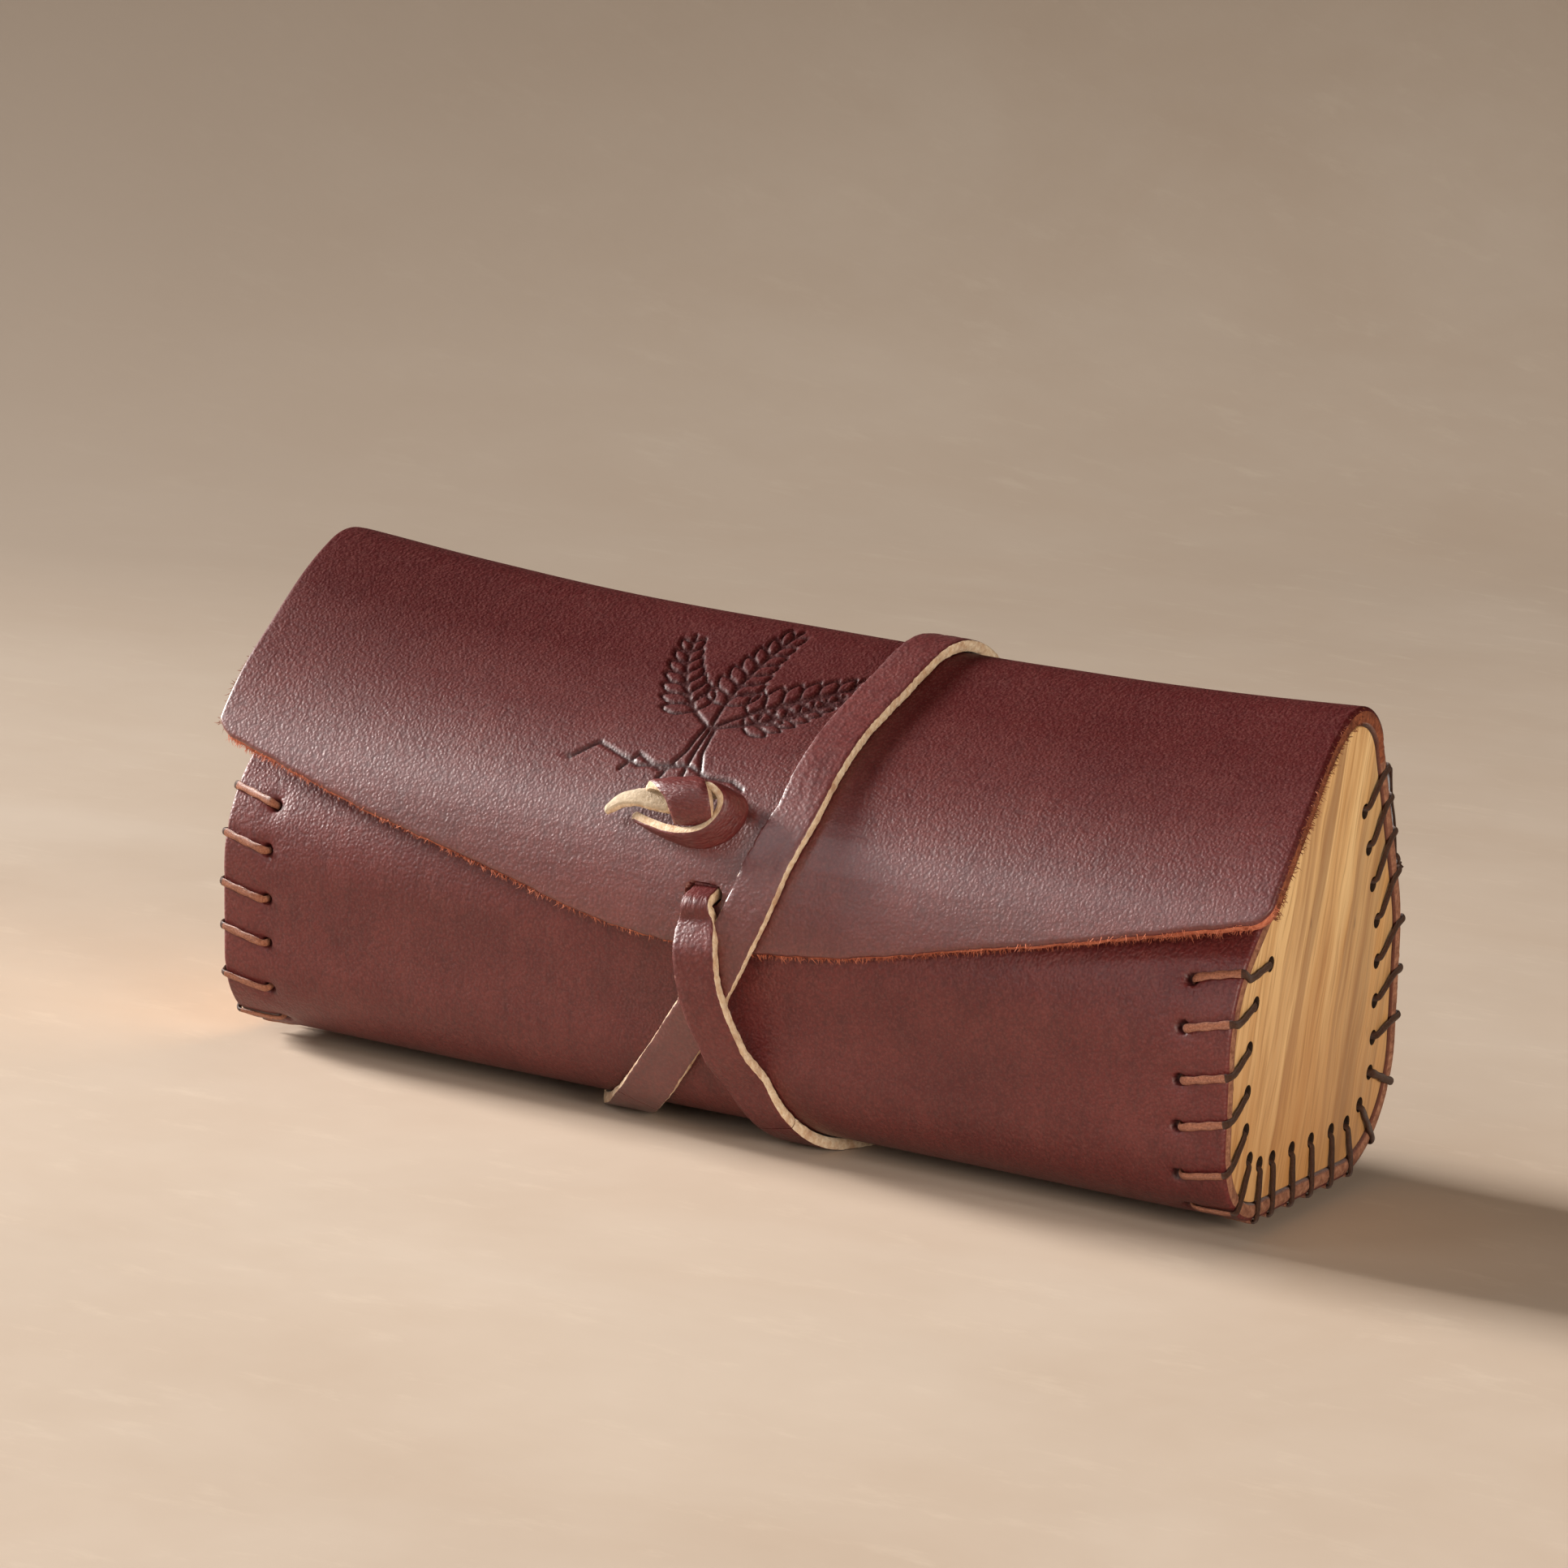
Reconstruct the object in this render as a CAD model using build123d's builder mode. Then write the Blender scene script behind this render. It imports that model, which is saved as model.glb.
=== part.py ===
"""Leather brush case: a hide wrapped round two wooden end plates, laced on, and tied shut with a thong.

X runs along the case, -Y is its front, +Z is up. The origin is on the table, under the middle of the
case. A cross-section is the taut loop round a few circles, (y, z, radius), listed anticlockwise as
seen from +X. A place on a loop is given either by the direction of its outward normal, in degrees
(90 is the top, 180 the front, 270 the underside, 360 the back, 395 the fold of the flap), or by its
distance along the loop, from the top down over the front, under the case and up the back.
"""

import os
from math import acos, atan2, cos, degrees, hypot, radians, sin

from build123d import *

os.makedirs("parts", exist_ok=True)

# driving dimensions, mm
CASE_HALF_LENGTH = 102.0
FLAP_HALF_LENGTH = 106.5
HIDE = 3.0
PLATE_THICKNESS = 7.0
PLATE_RECESS = 0.4
STRAP_WIDTH = 8.4
STRAP = 2.25
THREAD_RADIUS = 0.75
TOUCH_GAP = 0.1
THONG_GAP = 0.3
MOVING_GAP = 0.4

# cross-section of the end plates
APEX = (10.6, 77.0, 10.0)
BELLY_FRONT = (-11.9, 37.0, 20.5)
HEEL_FRONT = (-15.9, 20.0, 14.5)
HEEL_BACK = (21.1, 23.0, 17.5)
BELLY_BACK = (6.1, 40.0, 30.5)
PLATE_LOOP = [APEX, BELLY_FRONT, HEEL_FRONT, HEEL_BACK, BELLY_BACK]

# inner face of the flap, which stands off the roof of the plates
FLAP_APEX = (10.6, 77.0, 10.0 + MOVING_GAP)
FLAP_BULGE = (2.1, 39.2, 38.2)
FLAP_LOOP = [FLAP_BULGE, FLAP_APEX]

# the hide: where its front edge and its fold lie, and the outline of the flap seen from the front
PANEL_RISE = 9.0
FOLD = 395.0
FOLD_GAP = 0.8
AXIS_RADIUS = 16.0
FLAP_END = 200.0
FLAP_TOP = 120.0
FLAP_TIP_X = 1.0
FLAP_POINT_Z = 33.2
FLAP_SIDE_Z = 58.6
FLAP_TIP_RADIUS = 150.0
FLAP_CORNER_RADIUS = 6.0

# lacing: one hole in the plate and one in the hide for each stitch, given as
# distances along the plate's loop, set in by PLATE_HOLE_INSET, and along the outer face of the hide
FRONT_STITCHES = 6
BASE_STITCHES = 8
PLATE_HOLE_INSET = 7.0
PLATE_HOLE_RADIUS = 1.25
PLATE_HOLES = [
    41, 49, 57, 65, 72, 78.5, 83.5, 89, 97.5, 106, 115, 122, 128, 134.5, 141, 148, 155.5, 163.5, 171.5,
    179.5, 187.5,
]
HIDE_HOLE_INSET = 9.2
HIDE_HOLE_RADIUS = 1.3
HIDE_HOLES = [
    51.5, 60.5, 70, 78.5, 88, 97.5, 106.5, 112.5, 121, 129.5, 138.5, 147.5, 158, 170, 182, 191, 200.5,
    211, 219.5, 227, 233.5,
]
STITCHES = len(PLATE_HOLES)
THREAD_BEND = 0.9
THREAD_SINK = 2.0
RETURN_STITCHES = 3
LACING_KNOT = 214.0
LACING_KNOT_RADIUS = 1.7

# the thong: where its centre lies, as (distance along the taut loop, x), and where it is cut
SLOT = 63.0
CORNER_CUT = 107.0
HEEL_CUT = 168.0
TURN = 281.0
TAIL_CUT = 452.0
THONG_LINE = [
    (SLOT, 0), (80, 3), (CORNER_CUT, 13), (140, 25), (170, 31), (200, 30),
    (240, 26), (280, 18), (300, 15), (325, 15), (345, 10), (365, 1), (380, -9), (400, -24),
    (430, -36), (460, -43), (486, -46),
]
CROSSING = (63.5, 67.5, 92.0, 99.0)
THONG_STEP = 5.0
CUT_ALLOWANCE = 2.5
CUT_BLOCK = (2 * CASE_HALF_LENGTH, 12, 8)
UNDER_BLOCK = (2 * CASE_HALF_LENGTH, 120, 8)
SLOT_HEIGHT = 3.2
SLOT_CLEARANCE = 0.6
SLOT_CORNER = 1.45
INSIDE_START = 10.0
NECK_START = 0.8

# the thong's knot on the flap
KNOT_X = -5.0
KNOT_ANGLE = 149.0
KNOT_HOLE_RADIUS = 2.4
KNOT_LENGTH = 21.0
KNOT_DEPTH = 12.0
KNOT_CORNER = 5.5
KNOT_HEIGHT = 6.5
KNOT_ROUNDING = 2.8
KNOT_TILT = -6.0
KNOT_SHIFT = 1.5
KNOT_END_WIDTH = 6.9


def grown(circle, offset):
    return circle[0], circle[1], circle[2] + offset


THONG_LEVEL = HIDE + THONG_GAP + STRAP / 2
THONG_LOOP = [
    grown(circle, THONG_LEVEL) for circle in (FLAP_APEX, FLAP_BULGE, HEEL_FRONT, HEEL_BACK, BELLY_BACK)
]


def tangent_angle(circle, following):
    """Direction of the outward normal of the straight stretch between two neighbouring circles."""
    y, z, radius = circle
    next_y, next_z, next_radius = following
    gap = hypot(next_y - y, next_z - z)
    heading = degrees(atan2(next_z - z, next_y - y))
    return (heading - degrees(acos((radius - next_radius) / gap))) % 360


def arcs(loop):
    """(circle, first angle, last angle) down from the top, with angles that only rise."""
    angles = [tangent_angle(loop[k], loop[(k + 1) % len(loop)]) for k in range(len(loop))]
    found = []
    last = angles[0]
    for k in range(1, len(loop) + 1):
        first = last
        last = first + (angles[k % len(loop)] - first) % 360
        found.append((loop[k % len(loop)], first, last))
    return found


def on_circle(circle, angle, offset=0.0):
    y, z, radius = circle
    reach = radius + offset
    return y + reach * cos(radians(angle)), z + reach * sin(radians(angle))


def place(loop, offset, distance):
    """(y, z, normal angle) at a distance along the loop moved outwards by offset."""
    start_of_loop = on_circle(loop[0], arcs(loop)[0][1], offset)
    while True:
        previous = start_of_loop
        for circle, first, last in arcs(loop):
            start = on_circle(circle, first, offset)
            straight = hypot(start[0] - previous[0], start[1] - previous[1])
            if distance <= straight:
                share = distance / straight
                y = previous[0] + share * (start[0] - previous[0])
                z = previous[1] + share * (start[1] - previous[1])
                return y, z, first
            distance -= straight
            bend = radians(last - first) * (circle[2] + offset)
            if distance <= bend:
                angle = first + degrees(distance / (circle[2] + offset))
                return *on_circle(circle, angle, offset), angle
            distance -= bend
            previous = on_circle(circle, last, offset)


def distance_to(loop, offset, angle):
    """Distance along the loop to the place on an arc whose normal has this angle."""
    distance = 0.0
    previous = on_circle(loop[0], arcs(loop)[0][1], offset)
    for circle, first, last in arcs(loop):
        start = on_circle(circle, first, offset)
        distance += hypot(start[0] - previous[0], start[1] - previous[1])
        if angle <= last:
            return distance + radians(angle - first) * (circle[2] + offset)
        distance += radians(last - first) * (circle[2] + offset)
        previous = on_circle(circle, last, offset)


def trace(loop, offset, start, stop, rise=0.0):
    """Draws the loop from normal start to normal stop in the open BuildLine and returns its ends.
    The first end is drawn back by rise along the straight stretch before it."""
    pen = None
    for circle, first, last in arcs(loop):
        low = max(first, start)
        high = min(last, stop)
        if low >= high:
            continue
        begin = on_circle(circle, low, offset)
        if pen is None:
            first_end = (begin[0] + rise * sin(radians(low)), begin[1] - rise * cos(radians(low)))
            pen = first_end
        if hypot(begin[0] - pen[0], begin[1] - pen[1]) > 1e-6:
            Line(pen, begin)
        pen = on_circle(circle, high, offset)
        ThreePointArc(begin, on_circle(circle, (low + high) / 2, offset), pen)
    return first_end, pen


def hide_outline(loop, start, stop, rise=0.0):
    """Draws the section of a strip of hide, from the loop outwards, in the open BuildLine."""
    inner_first, inner_last = trace(loop, 0.0, start, stop, rise)
    outer_first, outer_last = trace(loop, HIDE, start, stop, rise)
    Line(inner_first, outer_first)
    Line(inner_last, outer_last)


def finish(piece, name):
    piece.part.label = name
    export_step(piece.part, f"parts/{name}.step")


# --- end plates and lacing ------------------------------------------------------------------------

def plate_hole(k):
    return place(PLATE_LOOP, -PLATE_HOLE_INSET, PLATE_HOLES[k])


def hide_hole(k, offset):
    """The stitch's hole in the hide, at an offset from the hide's inner face."""
    y, z, angle = place(PLATE_LOOP, HIDE, HIDE_HOLES[k])
    return y + (offset - HIDE) * cos(radians(angle)), z + (offset - HIDE) * sin(radians(angle))


def end_plate(side):
    plate_face = side * (CASE_HALF_LENGTH - PLATE_RECESS)
    with BuildPart() as plate:
        with BuildSketch(Plane.YZ.offset(plate_face)):
            with BuildLine():
                low = arcs(PLATE_LOOP)[0][1]
                first_end, last_end = trace(PLATE_LOOP, 0.0, low, low + 360)
                Line(last_end, first_end)
            make_face()
            with Locations(*[plate_hole(k)[:2] for k in range(STITCHES)]):
                Circle(PLATE_HOLE_RADIUS, mode=Mode.SUBTRACT)
        extrude(amount=-side * PLATE_THICKNESS)
    return plate


def stitches(side, first, count):
    """Stitches, each out of the plate's hole, over the edge and into the hide's hole."""
    thread_x = side * (CASE_HALF_LENGTH + THREAD_RADIUS + TOUCH_GAP)
    hole_x = side * (CASE_HALF_LENGTH - HIDE_HOLE_INSET)
    level = HIDE + THREAD_RADIUS + TOUCH_GAP
    with BuildPart() as lacing:
        for k in range(first, first + count):
            with BuildLine() as route:
                FilletPolyline(
                    (thread_x - side * THREAD_SINK, *plate_hole(k)[:2]),
                    (thread_x, *plate_hole(k)[:2]),
                    (thread_x, *hide_hole(k, level)),
                    (hole_x, *hide_hole(k, level)),
                    (hole_x, *hide_hole(k, level - THREAD_SINK)),
                    radius=THREAD_BEND,
                )
            with BuildSketch(Plane(origin=route.line @ 0, z_dir=(side, 0, 0))):
                Circle(THREAD_RADIUS)
            sweep(path=route.line)
    return lacing


SIDES = {"left": -1, "right": 1}
STITCH_GROUPS = {
    "front": (0, FRONT_STITCHES),
    "base": (FRONT_STITCHES, BASE_STITCHES),
    "back": (FRONT_STITCHES + BASE_STITCHES, STITCHES - FRONT_STITCHES - BASE_STITCHES),
}
for side_name, side in SIDES.items():
    finish(end_plate(side), f"end_plate_{side_name}")
    for group, (first, count) in STITCH_GROUPS.items():
        finish(stitches(side, first, count), f"lacing_{group}_{side_name}")

# the thread doubles back over its last stitches and is knotted on the back of the case
for side_name, side in SIDES.items():
    return_level = HIDE + 3 * THREAD_RADIUS + 2 * TOUCH_GAP
    edge_x = side * (CASE_HALF_LENGTH - THREAD_RADIUS)
    hole_x = side * (CASE_HALF_LENGTH - HIDE_HOLE_INSET)
    with BuildPart() as lacing_return:
        for k in range(STITCHES - RETURN_STITCHES, STITCHES):
            with BuildLine() as route:
                Line((edge_x, *hide_hole(k, return_level)), (hole_x, *hide_hole(k - 1, return_level)))
            with BuildSketch(Plane(origin=route.line @ 0, z_dir=route.line % 0)):
                Circle(THREAD_RADIUS)
            sweep(path=route.line)
    finish(lacing_return, f"lacing_return_{side_name}")

    knot_y, knot_z = place(PLATE_LOOP, HIDE + LACING_KNOT_RADIUS + TOUCH_GAP, LACING_KNOT)[:2]
    with BuildPart() as lacing_knot:
        with Locations((side * (CASE_HALF_LENGTH - LACING_KNOT_RADIUS), knot_y, knot_z)):
            Sphere(LACING_KNOT_RADIUS)
    finish(lacing_knot, f"lacing_knot_{side_name}")

# --- hide -------------------------------------------------------------------------------------------

panel_start = arcs(PLATE_LOOP)[0][1]
with BuildPart() as case_body:
    with BuildSketch(Plane.YZ):
        with BuildLine():
            hide_outline(PLATE_LOOP, panel_start, FOLD - FOLD_GAP, PANEL_RISE)
        make_face()
    extrude(amount=CASE_HALF_LENGTH, both=True)
    for side in SIDES.values():
        for k in range(STITCHES):
            inside = hide_hole(k, -1.0)
            outside = hide_hole(k, HIDE + 1.0)
            hole_x = side * (CASE_HALF_LENGTH - HIDE_HOLE_INSET)
            outward = (0, outside[0] - inside[0], outside[1] - inside[1])
            with BuildSketch(Plane(origin=(hole_x, *inside), z_dir=outward)):
                Circle(HIDE_HOLE_RADIUS)
            extrude(amount=HIDE + 2.0, mode=Mode.SUBTRACT)
finish(case_body, "case_body")


def flap_frame(angle):
    """Plane on the outer face of the flap, facing outwards, with X along the case."""
    y, z = on_circle(FLAP_BULGE, angle, HIDE)
    return Plane(origin=(0, y, z), x_dir=(1, 0, 0), z_dir=(0, cos(radians(angle)), sin(radians(angle))))


slot_angle = place(THONG_LOOP, 0.0, SLOT)[2]
with BuildPart() as flap:
    with BuildSketch(Plane.YZ):
        with BuildLine():
            hide_outline(FLAP_LOOP, FOLD - 360 + FOLD_GAP, FLAP_END)
        make_face()
    extrude(amount=FLAP_HALF_LENGTH, both=True)
    # what lies below the flap's edge, seen from the front, is cut away
    with BuildSketch(Plane.XZ) as flap_outline:
        with BuildLine():
            Polyline(
                (-FLAP_HALF_LENGTH, FLAP_TOP), (-FLAP_HALF_LENGTH, FLAP_SIDE_Z), (FLAP_TIP_X, FLAP_POINT_Z),
                (FLAP_HALF_LENGTH, FLAP_SIDE_Z), (FLAP_HALF_LENGTH, FLAP_TOP), close=True,
            )
        make_face()
        from_below = flap_outline.vertices().sort_by(Axis.Y)
        fillet(from_below[0], FLAP_TIP_RADIUS)
        corners = flap_outline.vertices().sort_by(Axis.X)
        fillet([corner for corner in corners if abs(corner.Y - FLAP_SIDE_Z) < 0.01], FLAP_CORNER_RADIUS)
    extrude(amount=FLAP_HALF_LENGTH, both=True, mode=Mode.INTERSECT)
    with BuildSketch(flap_frame(slot_angle)):
        with Locations((THONG_LINE[0][1], 0)):
            RectangleRounded(STRAP_WIDTH + 2 * SLOT_CLEARANCE, SLOT_HEIGHT, SLOT_CORNER)
    extrude(amount=-2 * HIDE, mode=Mode.SUBTRACT)
    with BuildSketch(flap_frame(KNOT_ANGLE)):
        with Locations((KNOT_X, 0)):
            Circle(KNOT_HOLE_RADIUS)
    extrude(amount=-2 * HIDE, mode=Mode.SUBTRACT)
finish(flap, "flap")

# --- thong ------------------------------------------------------------------------------------------


def thong_x(distance):
    for (start, start_x), (stop, stop_x) in zip(THONG_LINE, THONG_LINE[1:]):
        if distance <= stop:
            return start_x + (stop_x - start_x) * (distance - start) / (stop - start)
    return THONG_LINE[-1][1]


def thong_lift(distance):
    """How far the thong rises where it passes over its own other strand."""
    rise_from, full_from, full_to, back_at = CROSSING
    if distance <= rise_from or distance >= back_at:
        return 0.0
    rising = (distance - rise_from) / (full_from - rise_from)
    falling = (back_at - distance) / (back_at - full_to)
    share = min(1.0, rising, falling)
    return (STRAP + THONG_GAP) * share * share * (3 - 2 * share)


def thong_point(distance):
    y, z, angle = place(THONG_LOOP, 0.0, distance)
    lift = thong_lift(distance)
    return thong_x(distance), y + lift * cos(radians(angle)), z + lift * sin(radians(angle))


def cut_plane(distance):
    """The plane square to the loop, facing along it, in which the thong is cut."""
    y, z, angle = place(THONG_LOOP, 0.0, distance)
    return Plane(origin=(0, y, z), x_dir=(1, 0, 0), z_dir=(0, -sin(radians(angle)), cos(radians(angle))))


def thong(start, stop):
    """The thong between two cuts, which are planes square to its loop."""
    length = stop - start + 2 * CUT_ALLOWANCE
    steps = max(3, round(length / THONG_STEP))
    stations = [start - CUT_ALLOWANCE + length * k / steps for k in range(steps + 1)]
    points = [thong_point(distance) for distance in stations]
    with BuildPart() as run:
        with BuildLine() as route:
            middle = Spline(*points)
        # a copy of the route beside it keeps the thong's width along the case
        with BuildLine(mode=Mode.PRIVATE):
            beside = Spline(*[(x + STRAP_WIDTH, y, z) for x, y, z in points])
        with BuildSketch(Plane(origin=middle @ 0, x_dir=(1, 0, 0), z_dir=middle % 0)):
            Rectangle(STRAP_WIDTH, STRAP)
        sweep(path=middle, binormal=beside)
        for distance, side in ((start, Align.MAX), (stop, Align.MIN)):
            with Locations(cut_plane(distance)):
                Box(*CUT_BLOCK, align=(Align.CENTER, Align.CENTER, side), mode=Mode.SUBTRACT)
        # worn flat where the case stands on it
        Box(*UNDER_BLOCK, align=(Align.CENTER, Align.CENTER, Align.MAX), mode=Mode.SUBTRACT)
    return run


fold_distance = distance_to(THONG_LOOP, 0.0, FOLD)
fold_margin = radians(FOLD_GAP) * AXIS_RADIUS
cut_margin = MOVING_GAP / 2
over_cut = TURN + CORNER_CUT
finish(thong(SLOT, CORNER_CUT - cut_margin), "thong_front")
finish(thong(CORNER_CUT + cut_margin, HEEL_CUT - TOUCH_GAP), "thong_base_inner")
finish(thong(HEEL_CUT, fold_distance - fold_margin), "thong_back")
finish(thong(fold_distance + fold_margin, over_cut - cut_margin), "thong_over")
finish(thong(over_cut + cut_margin, TAIL_CUT - TOUCH_GAP), "thong_base_outer")
finish(thong(TAIL_CUT, THONG_LINE[-1][0]), "thong_tail")

# the thong comes in through the slot and runs up inside the flap to the knot's hole
inner_level = -MOVING_GAP - STRAP / 2
with BuildPart() as thong_inside:
    with BuildLine() as route:
        slot_end = (THONG_LINE[0][1], *on_circle(FLAP_BULGE, slot_angle - INSIDE_START, inner_level))
        knot_end = (KNOT_X, *on_circle(FLAP_BULGE, KNOT_ANGLE, inner_level))
        Line(slot_end, knot_end)
    with BuildSketch(Plane(origin=route.line @ 0, x_dir=(1, 0, 0), z_dir=route.line % 0)):
        Rectangle(STRAP_WIDTH, STRAP)
    sweep(path=route.line)
finish(thong_inside, "thong_inside")

with BuildPart() as thong_neck:
    with BuildSketch(flap_frame(slot_angle).offset(-NECK_START)):
        with Locations((THONG_LINE[0][1], 0)):
            Rectangle(STRAP_WIDTH, STRAP)
    extrude(amount=NECK_START - HIDE)
finish(thong_neck, "thong_neck")

# the knot sits on the flap, its short end pointing left, and its neck fills the hole
knot_frame = flap_frame(KNOT_ANGLE)
with BuildPart() as thong_knot:
    with BuildSketch(knot_frame.offset(THONG_GAP)):
        with Locations((KNOT_X + KNOT_SHIFT, 0)):
            RectangleRounded(KNOT_LENGTH, KNOT_DEPTH, KNOT_CORNER, rotation=KNOT_TILT)
    extrude(amount=KNOT_HEIGHT)
    outward = Axis(knot_frame.origin, knot_frame.z_dir)
    fillet(thong_knot.faces().sort_by(outward)[-1].edges(), KNOT_ROUNDING)
    with BuildSketch(knot_frame.offset(THONG_GAP)):
        with Locations((KNOT_X - KNOT_LENGTH / 2, 0)):
            Rectangle(STRAP_WIDTH, KNOT_END_WIDTH, rotation=KNOT_TILT)
    extrude(amount=STRAP)
    with BuildSketch(knot_frame.offset(THONG_GAP)):
        with Locations((KNOT_X, 0)):
            Circle(KNOT_HOLE_RADIUS - TOUCH_GAP)
    extrude(amount=-HIDE)
finish(thong_knot, "thong_knot")
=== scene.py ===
"""Leather brush case with olive wood end plates, laced sides and a wrapped thong.

Everything is laid out in millimetres, in the frame of the CAD part, and turned into metres when a mesh
is made. A cross-section is a taut loop round a few circles; a place on it is a distance along it, from
the top down over the front, under the case and up the back.
"""

import math

import bpy
import numpy as np
from mathutils import Matrix, Vector, noise


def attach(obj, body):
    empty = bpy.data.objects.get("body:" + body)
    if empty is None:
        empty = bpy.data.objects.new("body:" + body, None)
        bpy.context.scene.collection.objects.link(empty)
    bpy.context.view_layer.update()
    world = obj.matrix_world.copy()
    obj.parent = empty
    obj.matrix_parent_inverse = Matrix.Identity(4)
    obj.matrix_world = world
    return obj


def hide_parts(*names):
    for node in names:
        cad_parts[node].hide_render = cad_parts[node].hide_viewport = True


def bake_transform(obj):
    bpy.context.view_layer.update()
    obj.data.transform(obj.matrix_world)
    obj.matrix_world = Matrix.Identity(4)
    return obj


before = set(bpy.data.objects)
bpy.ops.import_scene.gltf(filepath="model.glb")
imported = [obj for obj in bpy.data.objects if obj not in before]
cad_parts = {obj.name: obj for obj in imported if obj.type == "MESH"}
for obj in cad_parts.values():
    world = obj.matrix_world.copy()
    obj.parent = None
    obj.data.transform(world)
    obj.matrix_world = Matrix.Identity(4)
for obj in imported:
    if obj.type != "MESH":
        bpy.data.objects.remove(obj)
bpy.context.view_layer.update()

MM = 0.001
rng = np.random.default_rng(7)

# --- sizes, mm ---

CASE_HALF = 102.0
FLAP_HALF = 106.5
HIDE = 3.0
STRAP_WIDTH = 8.4
STRAP = 2.2
APEX = (10.6, 77.0, 10.0)
BELLY_FRONT = (-11.9, 37.0, 20.5)
HEEL_FRONT = (-15.9, 20.0, 14.5)
HEEL_BACK = (21.1, 23.0, 17.5)
BELLY_BACK = (6.1, 40.0, 30.5)
FLAP_APEX = (10.6, 77.0, 10.4)
FLAP_BULGE = (2.1, 39.2, 38.2)
FLAP_TIP_X = 1.0
FLAP_POINT_Z = 33.2
FLAP_SIDE_Z = 58.6
FLAP_TIP_RADIUS = 150.0
PLATE_HOLES = [
    41, 49, 57, 65, 72, 78.5, 83.5, 89, 97.5, 106, 115, 122, 128, 134.5, 141, 148, 155.5, 163.5, 171.5,
    179.5, 187.5,
]
PLATE_HOLE_INSET = 7.0
HIDE_HOLES = [
    51.5, 60.5, 70, 78.5, 88, 97.5, 106.5, 112.5, 121, 129.5, 138.5, 147.5, 158, 170, 182, 191, 200.5,
    211, 219.5, 227, 233.5,
]
HIDE_HOLE_INSET = 9.2
# how much higher each stitch lies at the edge of the hide than at its hole
STITCH_SLANT = [2.3] * 5 + [1.5, 0.8, 0.3] + [0.0] * 6 + [-0.6] * 7
THONG_LINE = [
    (63, 0), (80, 3), (107, 13), (140, 25), (170, 31), (200, 30),
    (240, 26), (280, 18), (300, 15), (325, 15), (345, 10), (365, 1), (380, -9), (400, -24),
    (430, -36), (460, -43), (486, -46),
]


# --- loops ---


def tangent_angle(circle, following):
    y, z, radius = circle
    next_y, next_z, next_radius = following
    gap = math.hypot(next_y - y, next_z - z)
    heading = math.degrees(math.atan2(next_z - z, next_y - y))
    return (heading - math.degrees(math.acos((radius - next_radius) / gap))) % 360


class Loop:
    """A taut loop round circles: tables of its distances, places and normal angles."""

    def __init__(self, circles, turns=1):
        angles = [tangent_angle(*pair) for pair in zip(circles, circles[1:] + circles[:1])]
        ys, zs, normals = [], [], []
        last = angles[0]
        y, z, radius = circles[0]
        ys.append(y + radius * math.cos(math.radians(last)))
        zs.append(z + radius * math.sin(math.radians(last)))
        normals.append(last)
        for k in range(1, len(circles) * turns + 1):
            first = last
            last = first + (angles[k % len(circles)] - first) % 360
            y, z, radius = circles[k % len(circles)]
            for angle in np.linspace(first, last, 60):
                ys.append(y + radius * math.cos(math.radians(angle)))
                zs.append(z + radius * math.sin(math.radians(angle)))
                normals.append(angle)
        self.y = np.array(ys)
        self.z = np.array(zs)
        self.angle = np.array(normals)
        steps = np.hypot(np.diff(self.y), np.diff(self.z))
        self.s = np.concatenate(([0.0], np.cumsum(steps)))
        self.length = self.s[-1]

    def at(self, s, offset=0.0):
        """(y, z, normal angle in radians) at distances s, moved outwards by offset."""
        s = np.asarray(s, float)
        angle = np.radians(np.interp(s, self.s, self.angle))
        y = np.interp(s, self.s, self.y) + offset * np.cos(angle)
        z = np.interp(s, self.s, self.z) + offset * np.sin(angle)
        return y, z, angle

    def of_angle(self, angle):
        return float(np.interp(angle, self.angle, self.s))


def grown(circles, offset):
    return [(y, z, radius + offset) for y, z, radius in circles]


PLATE_CIRCLES = [APEX, BELLY_FRONT, HEEL_FRONT, HEEL_BACK, BELLY_BACK]
plate_loop = Loop(PLATE_CIRCLES)
hide_loop = Loop(grown(PLATE_CIRCLES, HIDE))
inset_loop = Loop(grown(PLATE_CIRCLES, -PLATE_HOLE_INSET))
flap_loop = Loop([FLAP_BULGE, FLAP_APEX])
THONG_LEVEL = HIDE + 0.3 + STRAP / 2
thong_loop = Loop(grown([FLAP_APEX, FLAP_BULGE, HEEL_FRONT, HEEL_BACK, BELLY_BACK], THONG_LEVEL), turns=2)


def smooth(edge0, edge1, value):
    t = np.clip((np.asarray(value, float) - edge0) / (edge1 - edge0), 0, 1)
    return t * t * (3 - 2 * t)


def settled(places):
    """Leather between the plates has sunk a little at the top, most at mid length."""
    places = np.asarray(places, float).copy()
    share = np.clip(np.abs(places[..., 0]) / 104.0, 0, 1)
    places[..., 2] -= 2.5 * (1 - share**3) * smooth(50, 88, places[..., 2])
    return places


def soft_noise(points, scale, seed):
    """Smooth noise from -1 to 1 at points in mm."""
    shift = Vector((seed, 3.7 * seed, -1.3 * seed))
    return np.array([noise.noise(Vector(p) / scale + shift) for p in points])


def outwards(angle):
    """Unit vectors straight out of the section at normal angles."""
    return np.stack((np.zeros_like(angle), np.cos(angle), np.sin(angle)), -1)


def unit(vectors):
    return vectors / np.maximum(np.linalg.norm(vectors, axis=-1), 1e-9)[..., None]


# --- meshes ---


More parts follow.
